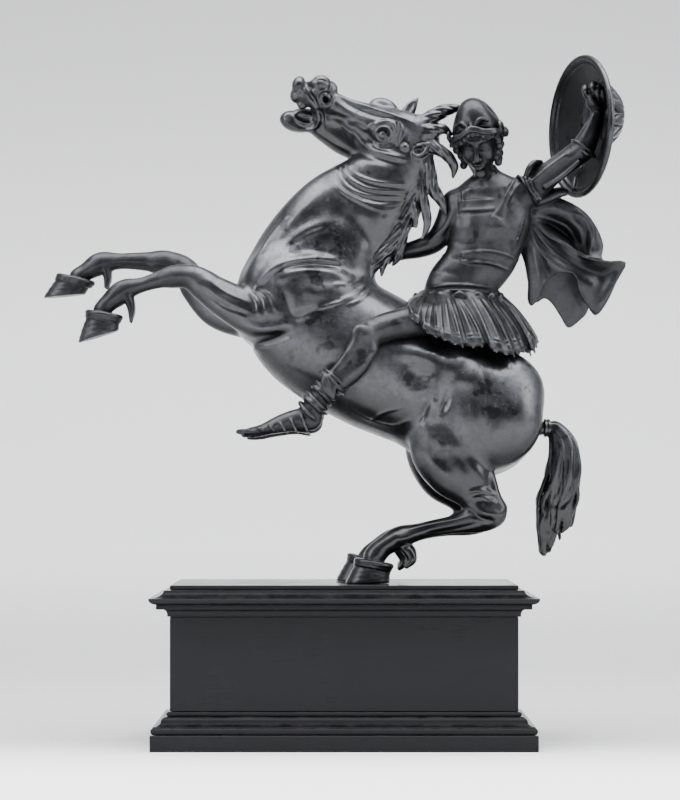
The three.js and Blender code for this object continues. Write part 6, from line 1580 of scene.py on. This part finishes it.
def mitre_tree():
    """The node tree that draws a section out and sets four lengths of it round a block."""
    tree = bpy.data.node_groups.new("mitred lengths", "GeometryNodeTree")
    for name, kind, way in (
        ("Section", "NodeSocketGeometry", "INPUT"), ("Half length", "NodeSocketFloat", "INPUT"),
        ("Half depth", "NodeSocketFloat", "INPUT"), ("Wood", "NodeSocketMaterial", "INPUT"),
        ("Lengths", "NodeSocketGeometry", "OUTPUT"),
    ):
        tree.interface.new_socket(name=name, in_out=way, socket_type=kind)
    new, link = tree.nodes.new, tree.links.new
    given, result = new("NodeGroupInput"), new("NodeGroupOutput")
    section = new("GeometryNodeMeshToCurve")
    link(given.outputs["Section"], section.inputs["Mesh"])
    line = new("GeometryNodeCurvePrimitiveLine")
    line.inputs["Start"].default_value = (-1, 0, 0)
    line.inputs["End"].default_value = (1, 0, 0)
    run = new("GeometryNodeCurveToMesh")
    link(line.outputs["Curve"], run.inputs["Curve"])
    link(section.outputs["Curve"], run.inputs["Profile Curve"])
    run.inputs["Fill Caps"].default_value = True
    place, parts = new("GeometryNodeInputPosition"), new("ShaderNodeSeparateXYZ")
    link(place.outputs[0], parts.inputs[0])

    def sum_of(a, b, operation="ADD"):
        node = new("ShaderNodeMath")
        node.operation = operation
        link(a, node.inputs[0])
        link(b, node.inputs[1])
        return node.outputs[0]

    joined = new("GeometryNodeJoinGeometry")
    for quarter in range(4):
        halves = ["Half length", "Half depth"]
        along, away = (given.outputs[h] for h in (halves if quarter % 2 == 0 else halves[::-1]))
        out = sum_of(away, parts.outputs["Y"])
        end = sum_of(parts.outputs["X"], sum_of(along, parts.outputs["Y"]), "MULTIPLY")
        spot = new("ShaderNodeCombineXYZ")
        link(end, spot.inputs["X"])
        link(out, spot.inputs["Y"])
        link(parts.outputs["Z"], spot.inputs["Z"])
        moved = new("GeometryNodeSetPosition")
        link(run.outputs["Mesh"], moved.inputs["Geometry"])
        link(spot.outputs[0], moved.inputs["Position"])
        turned = new("GeometryNodeTransform")
        link(moved.outputs["Geometry"], turned.inputs["Geometry"])
        turned.inputs["Rotation"].default_value = (0, 0, quarter * np.pi / 2)
        link(turned.outputs["Geometry"], joined.inputs["Geometry"])
    real, wood = new("GeometryNodeRealizeInstances"), new("GeometryNodeSetMaterial")
    link(joined.outputs["Geometry"], real.inputs["Geometry"])
    link(real.outputs["Geometry"], wood.inputs["Geometry"])
    link(given.outputs["Wood"], wood.inputs["Material"])
    link(wood.outputs["Geometry"], result.inputs["Lengths"])
    return tree


mitred = mitre_tree()
print(len(mitred.nodes), "nodes")

# %% [markdown]
# ## Finishes
#
# Bronze and black wood age in the same ways: the high edges are rubbed, dust stays on what
# faces up, and handling leaves patches of a different polish. Each of these is a node group
# that gives a mask, and both materials use them.

# %% Shared effects


class Nodes:
    """Short ways to add nodes to a shader tree."""

    def __init__(self, tree):
        self.tree = tree

    def add(self, kind, **settings):
        node = self.tree.nodes.new(kind)
        for name, value in settings.items():
            setattr(node, name, value)
        return node

    def feed(self, socket, value):
        if isinstance(value, bpy.types.NodeSocket):
            self.tree.links.new(value, socket)
        else:
            socket.default_value = value

    def math(self, operation, a, b):
        node = self.add("ShaderNodeMath", operation=operation)
        self.feed(node.inputs[0], a)
        self.feed(node.inputs[1], b)
        return node.outputs[0]

    def span(self, value, low, high, to_low=0.0, to_high=1.0):
        """The value's run from low to high, spread softly over a new range."""
        node = self.add("ShaderNodeMapRange", interpolation_type="SMOOTHSTEP")
        for socket, given in zip(node.inputs, (value, low, high, to_low, to_high)):
            self.feed(socket, given)
        return node.outputs["Result"]

    def noise(self, vector, scale, detail, roughness=0.55, distortion=0.0):
        node = self.add("ShaderNodeTexNoise")
        for name, given in (
            ("Vector", vector), ("Scale", scale), ("Detail", detail), ("Roughness", roughness),
            ("Distortion", distortion),
        ):
            self.feed(node.inputs[name], given)
        return node.outputs["Fac"]

    def parts(self, vector):
        """X, Y and Z of a vector, by name."""
        node = self.add("ShaderNodeSeparateXYZ")
        self.feed(node.inputs[0], vector)
        return node.outputs

    def kept(self, name):
        """A value that the mesh holds for each point."""
        return self.add("ShaderNodeAttribute", attribute_name=name).outputs["Fac"]

    def stretched(self, vector, scale):
        node = self.add("ShaderNodeVectorMath", operation="MULTIPLY")
        self.feed(node.inputs[0], vector)
        node.inputs[1].default_value = scale
        return node.outputs[0]

    def blend(self, factor, a, b):
        """Two colours mixed; a Mix node has its colour sockets at 6 and 7, and gives them at 2."""
        node = self.add("ShaderNodeMix", data_type="RGBA")
        self.feed(node.inputs["Factor"], factor)
        self.feed(node.inputs[6], a)
        self.feed(node.inputs[7], b)
        return node.outputs[2]

    def group(self, tree, **inputs):
        node = self.add("ShaderNodeGroup", node_tree=tree)
        for name, given in inputs.items():
            self.feed(node.inputs[name], given)
        return node.outputs

    def bump(self, height, strength, distance):
        node = self.add("ShaderNodeBump")
        for name, given in (("Height", height), ("Strength", strength), ("Distance", distance)):
            self.feed(node.inputs[name], given)
        return node.outputs[0]


def effect(name, sockets, output, build):
    """A node group with named inputs; build returns the socket of its one output."""
    tree = bpy.data.node_groups.new(name, "ShaderNodeTree")
    for label, kind, default in sockets:
        socket = tree.interface.new_socket(name=label, in_out="INPUT", socket_type=kind)
        if default is not None:
            socket.default_value = default
    tree.interface.new_socket(name=output, in_out="OUTPUT", socket_type="NodeSocketFloat")
    nodes = Nodes(tree)
    given = nodes.add("NodeGroupInput").outputs
    result = nodes.add("NodeGroupOutput")
    nodes.feed(result.inputs[0], build(nodes, given))
    return tree


VECTOR, FLOAT = "NodeSocketVector", "NodeSocketFloat"


def build_wear(n, given):
    rough = n.noise(given["Vector"], 240.0, 4.0)
    raised = n.math("ADD", given["Pointiness"], n.math("MULTIPLY", n.math("SUBTRACT", rough, 0.5), 0.04))
    return n.math("MULTIPLY", n.span(raised, 0.515, 0.60), given["Amount"])


def build_dust(n, given):
    cloud = n.noise(given["Vector"], 70.0, 5.0, 0.65)
    up = n.parts(given["Normal"])["Z"]
    mask = n.math("MULTIPLY", n.span(up, 0.45, 1.0), n.span(cloud, 0.35, 0.75))
    return n.math("MULTIPLY", mask, given["Amount"])


def build_handling(n, given):
    broad = n.noise(given["Vector"], given["Scale"], 4.0, 0.6, 0.4)
    fine = n.noise(given["Vector"], n.math("MULTIPLY", given["Scale"], 6.0), 3.0)
    return n.span(n.math("ADD", n.math("MULTIPLY", broad, 0.8), n.math("MULTIPLY", fine, 0.2)), 0.32, 0.68)


worn = effect("rubbed edges", [
    ("Vector", VECTOR, None), ("Pointiness", FLOAT, 0.5), ("Amount", FLOAT, 1.0)], "Mask", build_wear)
dusty = effect("dust on top", [
    ("Vector", VECTOR, None), ("Normal", VECTOR, None), ("Amount", FLOAT, 1.0)], "Mask", build_dust)
handled = effect("handling", [("Vector", VECTOR, None), ("Scale", FLOAT, 20.0)], "Mask", build_handling)


def new_material(name):
    """A material with its shader, coordinates, geometry and node helper."""
    material = bpy.data.materials.new(name)
    material.use_nodes = True
    nodes = Nodes(material.node_tree)
    shader = material.node_tree.nodes["Principled BSDF"]
    place = nodes.add("ShaderNodeTexCoord").outputs["Object"]
    geometry = nodes.add("ShaderNodeNewGeometry").outputs
    return material, nodes, shader, place, geometry


print("effects:", worn.name + ",", dusty.name + ",", handled.name)

# %% [markdown]
# Bronze is pickled brown and then lacquered almost black. Blue-grey shows through where the lacquer is thin,
# small dark specks are left in it, and the ridges are rubbed a little lighter. Shade is painted in near black
# on what faces down, low down towards the hind hooves, and in hollows and under neighbouring parts.

# %% Bronze
# near black, painted in as shade
PAINTED_SHADE = (0.010, 0.010, 0.011, 1)


def make_bronze():
    material, n, shader, place, geometry = new_material("patinated bronze")
    cloud = n.group(handled, Vector=place, Scale=26.0)["Mask"]
    small = n.noise(place, 190.0, 5.0, 0.62)
    edge = n.group(worn, Vector=place, Pointiness=n.kept("ridge"), Amount=0.6)["Mask"]
    # painted shade in hollows and under neighbouring parts, as kept in the mesh
    hollow = n.span(n.kept("hollow"), 0.10, 0.50)
    dust = n.group(dusty, Vector=place, Normal=geometry["Normal"], Amount=0.12)["Mask"]
    specks = n.span(n.noise(place, 850.0, 2.0), 0.62, 0.69)
    # painted shade on what faces down
    under = n.span(n.parts(geometry["Normal"])["Z"], -0.60, 0.08, 1.0, 0.0)
    # painted shade low down, below 0.27 m
    low = n.span(n.parts(place)["Z"], 0.17, 0.27, 0.8, 0.0)
    patches = n.math("ADD", n.noise(place, 60.0, 2.0), n.math("MULTIPLY", small, 0.25))
    color = n.blend(cloud, (0.026, 0.026, 0.029, 1), (0.098, 0.103, 0.114, 1))
    color = n.blend(n.span(small, 0.40, 0.75, 0, 0.5), color, (0.024, 0.022, 0.022, 1))
    color = n.blend(n.span(patches, 0.74, 0.80, 0, 0.8), color, (0.010, 0.010, 0.012, 1))
    color = n.blend(edge, color, (0.30, 0.295, 0.285, 1))
    # painted shade: what faces down, what is low and what lies in hollows goes near black
    for share in (n.math("MULTIPLY", under, 0.88), low, n.math("MULTIPLY", hollow, 0.92)):
        color = n.blend(share, color, PAINTED_SHADE)
    color = n.blend(dust, color, (0.25, 0.25, 0.24, 1))
    color = n.blend(n.math("MULTIPLY", specks, 0.6), color, (0.02, 0.02, 0.02, 1))
    n.feed(shader.inputs["Base Color"], color)
    rough = n.math("ADD", n.span(cloud, 0, 1, 0.24, 0.34), n.math("MULTIPLY", small, 0.10))
    rough = n.math("ADD", rough, n.math("MULTIPLY", hollow, 0.2))
    n.feed(shader.inputs["Roughness"], n.math("SUBTRACT", rough, n.math("MULTIPLY", edge, 0.05)))
    n.feed(shader.inputs["Metallic"], n.math("SUBTRACT", 0.95, n.math("MULTIPLY", dust, 0.5)))
    coat = n.math("MULTIPLY", n.span(cloud, 0, 1, 0.5, 0.2), n.math("SUBTRACT", 1.0, hollow))
    n.feed(shader.inputs["Coat Weight"], coat)
    shader.inputs["Coat Roughness"].default_value = 0.18
    pits = n.math("ADD", n.math("MULTIPLY", small, 0.6), n.math("MULTIPLY", specks, -0.4))
    n.feed(shader.inputs["Normal"], n.bump(pits, 0.4, 0.0007))
    return material


bronze = make_bronze()
for piece in casts:
    piece.data.materials.clear()
    piece.data.materials.append(bronze)
print(bronze.name, len(bronze.node_tree.nodes), "nodes")

# %% [markdown]
# The plinth is a close-grained wood stained black and rubbed with wax. Its grain runs along
# the mouldings and only just shows in the polish.

# %% Ebonised wood, and the plinth in it


def make_wood():
    material, n, shader, place, geometry = new_material("ebonised wood")
    fibre = n.noise(n.stretched(place, (0.06, 0.06, 1.0)), 900.0, 5.0, 0.6, 0.6)
    bands = n.noise(n.stretched(place, (0.10, 0.10, 1.0)), 160.0, 3.0, 0.5, 1.2)
    patch = n.group(handled, Vector=place, Scale=14.0)["Mask"]
    edge = n.group(worn, Vector=place, Pointiness=geometry["Pointiness"], Amount=0.5)["Mask"]
    dust = n.group(dusty, Vector=place, Normal=geometry["Normal"], Amount=0.06)["Mask"]
    color = n.blend(n.span(bands, 0.3, 0.7), (0.0010, 0.0010, 0.0016, 1), (0.0022, 0.0022, 0.0034, 1))
    color = n.blend(n.span(fibre, 0.55, 0.8, 0, 0.5), color, (0.004, 0.004, 0.0045, 1))
    color = n.blend(edge, color, (0.03, 0.03, 0.032, 1))
    color = n.blend(dust, color, (0.25, 0.25, 0.25, 1))
    n.feed(shader.inputs["Base Color"], color)
    # what faces up is polished smoother
    up = n.parts(geometry["Normal"])["Z"]
    rough = n.math("ADD", n.span(patch, 0, 1, 0.22, 0.30), n.math("MULTIPLY", fibre, 0.10))
    rough = n.math("SUBTRACT", rough, n.span(up, 0.8, 1.0, 0.0, 0.12))
    n.feed(shader.inputs["Roughness"], n.math("ADD", rough, n.math("MULTIPLY", dust, 0.3)))
    shader.inputs["Specular IOR Level"].default_value = 0.05
    grain = n.math("ADD", n.math("MULTIPLY", fibre, 0.5), n.math("MULTIPLY", bands, 0.5))
    n.feed(shader.inputs["Normal"], n.bump(grain, 0.12, 0.0004))
    return material


wood = make_wood()
HALF_LENGTH, HALF_DEPTH = 126.3, 60.0  # of the die


def arc(start, end, hollow, steps=8):
    """A quarter of an ellipse between two rows of overhang and z, without its first row."""
    rows = []
    for t in np.linspace(0, np.pi / 2, steps + 1)[1:]:
        s, c = (1 - np.cos(t), np.sin(t)) if hollow else (np.sin(t), 1 - np.cos(t))
        rows.append((start[0] + (end[0] - start[0]) * c, start[1] + (end[1] - start[1]) * s))
    return rows


def eased(rows, size=0.25):
    """The same section with its sharp outer corners cut a little."""
    out = [rows[0]]
    for before, here, after in zip(rows, rows[1:], rows[2:]):
        a, b = np.subtract(before, here), np.subtract(after, here)
        la, lb = np.hypot(*a), np.hypot(*b)
        sharp = la > 3 * size and lb > 3 * size and abs(a @ b) < 0.5 * la * lb
        out += [tuple(here + a / la * size), tuple(here + b / lb * size)] if sharp else [here]
    return out + [rows[-1]]


def lengths(node, rows):
    """Four mitred lengths with a section of rows of overhang and z, from the bottom up."""
    core = 1 - HALF_DEPTH
    outline = eased([(core, rows[0][1]), *rows, (core, rows[-1][1])])
    points = [(-y * MM, -z * MM, 0) for y, z in outline]  # the sweep turns its section half round
    mesh = bpy.data.meshes.new(node)
    n = len(points)
    mesh.from_pydata(points, [(i, (i + 1) % n) for i in range(n)], [])
    piece = add_object(node + "_lengths", mesh)
    maker = piece.modifiers.new("mitre", "NODES")
    maker.node_group = mitred
    given = {"Half length": HALF_LENGTH * MM, "Half depth": HALF_DEPTH * MM, "Wood": wood}
    for socket in mitred.interface.items_tree:
        if socket.in_out == "INPUT" and socket.name in given:
            maker[socket.identifier] = given[socket.name]
    bake(piece)
    finish_wood(piece, node)


def block(node, low, high, over, ease=0.4):
    """One board with eased edges."""
    rows = [(low, -ease), (low + ease, 0), (high - ease, 0), (high, -ease)]
    points, faces = [], []
    for z, back in rows:
        x, y = HALF_LENGTH + over + back, HALF_DEPTH + over + back
        points += [(-x, -y, z), (x, -y, z), (x, y, z), (-x, y, z)]
    for r in range(3):
        for k in range(4):
            a, b = 4 * r + k, 4 * r + (k + 1) % 4
            faces.append((a, b, b + 4, a + 4))
    faces += [(3, 2, 1, 0), (12, 13, 14, 15)]
    piece = add_object(node + "_board", plain_mesh(node, np.array(points) * MM, faces))
    piece.data.materials.append(wood)
    finish_wood(piece, node)


def finish_wood(piece, node):
    """Shades a wooden piece with crisp arrises and hides its CAD node."""
    piece.data.shade_smooth()
    piece.data.set_sharp_from_angle(angle=np.radians(24))
    part_of(piece, "ebonised_wood", node)
    print(piece.name, len(piece.data.polygons), "faces")


block("plinth_foot", 0, 11.9, 13.7)
lengths("plinth_base_moulding", [
    (10.6, 12.2), *arc((10.6, 12.2), (13.2, 14.8), True), *arc((13.2, 14.8), (10.6, 17.4), False)[:-1],
    (11.5, 17.4), (11.5, 17.9), *arc((11.5, 17.9), (6.15, 21.35), True),
    *arc((6.15, 21.35), (0.8, 24.8), False), *arc((0.8, 24.8), (2.4, 26.4), True, 5),
    *arc((2.4, 26.4), (0.8, 28.0), False, 5),
])
lengths("plinth_die", [(0, 28.3), (0, 96.6)])
lengths("plinth_cornice", [
    (1.8, 96.9), (1.8, 98.3), *arc((1.8, 98.3), (5.3, 102.4), False), (9.4, 102.4), (9.4, 106.0),
    *arc((9.4, 106.0), (14.7, 110.4), True), *arc((14.7, 110.4), (4.1, 116.0), True),
])
block("plinth_top_slab", 116.3, 119.5, 0)

# %% [markdown]
# ## The studio
#
# The object stands on pale paper that curves up behind it. Large soft lights from both sides and
# from above give long quiet reflections.

# %% Floor and lights


def make_paper():
    """Paper with painted light and shade: pale and glowing before the object, a darker grey on the floor
    behind it, and greyer high up on the wall.
    """
    material, n, shader, place, geometry = new_material("studio paper")
    tone = n.noise(place, 3.0, 2.0)
    spot = n.parts(place)
    # painted light: the paper before the object is paler
    near = n.span(n.math("ADD", spot["Y"], n.math("MULTIPLY", tone, 0.04)), -0.22, 0.06, 1.0, 0.0)
    # painted shade: greyer high on the wall and on the floor behind the object
    color = n.blend(n.span(spot["Z"], 0.35, 0.9), (0.80, 0.80, 0.805, 1), (0.55, 0.55, 0.56, 1))
    color = n.blend(n.span(spot["Z"], 0.0, 0.12), (0.56, 0.56, 0.565, 1), color)
    n.feed(shader.inputs["Base Color"], n.blend(near, color, (0.97, 0.97, 0.97, 1)))
    # painted light: the paper before the object glows
    shader.inputs["Emission Color"].default_value = (1, 1, 1, 1)
    n.feed(shader.inputs["Emission Strength"], n.math("MULTIPLY", near, 0.45))
    n.feed(shader.inputs["Roughness"], n.span(tone, 0, 1, 0.85, 0.95))
    n.feed(shader.inputs["Normal"], n.bump(n.noise(place, 800.0, 4.0), 0.05, 0.0003))
    # only its front is there, so that the wall hides nothing from behind
    one_sided = n.add("ShaderNodeMixShader")
    n.feed(one_sided.inputs["Fac"], geometry["Backfacing"])
    n.feed(one_sided.inputs[1], shader.outputs["BSDF"])
    n.feed(one_sided.inputs[2], n.add("ShaderNodeBsdfTransparent").outputs["BSDF"])
    n.feed(material.node_tree.nodes["Material Output"].inputs["Surface"], one_sided.outputs[0])
    return material


def make_floor():
    """A sheet from behind the camera to the wall, with a wide bend between."""
    front, back, bend, wide, height = -3.2, 1.6, 0.9, 4.0, 3.5
    line = [(front, 0.0)]
    for t in np.linspace(0, np.pi / 2, 25):
        line.append((back - bend + bend * np.sin(t), bend - bend * np.cos(t)))
    line.append((back, height))
    points = [(side * wide, y, z) for y, z in line for side in (-1, 1)]
    faces = [(2 * i, 2 * i + 1, 2 * i + 3, 2 * i + 2) for i in range(len(line) - 1)]
    floor = add_object("floor", plain_mesh("floor", points, faces))
    floor.data.shade_smooth()
    floor.data.materials.append(make_paper())


def area_light(name, place, target, size, power):
    """A soft rectangular light at a place, turned to a target."""
    data = bpy.data.lights.new(name, "AREA")
    data.shape = "RECTANGLE"
    data.size, data.size_y = size
    data.energy = power
    light = add_object(name, data)
    light.location = place
    aim = np.array(target, float) - place
    aim /= np.linalg.norm(aim)
    light.rotation_euler = (np.arccos(-aim[2]), 0, np.arctan2(aim[1], aim[0]) - np.pi / 2)


make_floor()
area_light("left", (-1.6, -0.9, 1.2), (0, 0, 0.28), (0.9, 1.6), 30)
area_light("right", (1.7, -0.6, 1.1), (0, 0, 0.28), (0.8, 1.6), 26)
area_light("top", (0.0, -0.4, 1.9), (0, -0.6, 0), (2.4, 1.4), 105)


def make_world():
    """A studio that is dim behind the camera and bright above."""
    world = bpy.data.worlds.new("studio")
    world.use_nodes = True
    n = Nodes(world.node_tree)
    way = n.parts(n.add("ShaderNodeTexCoord").outputs["Generated"])
    around = n.span(way["Y"], -0.95, 0.0, 0.10, 0.75)
    above = n.span(way["Z"], 0.15, 0.75, 0.0, 0.7)
    shader = world.node_tree.nodes["Background"]
    shader.inputs["Color"].default_value = (0.92, 0.95, 1.0, 1)
    n.feed(shader.inputs["Strength"], n.math("ADD", around, above))
    bpy.context.scene.world = world


make_world()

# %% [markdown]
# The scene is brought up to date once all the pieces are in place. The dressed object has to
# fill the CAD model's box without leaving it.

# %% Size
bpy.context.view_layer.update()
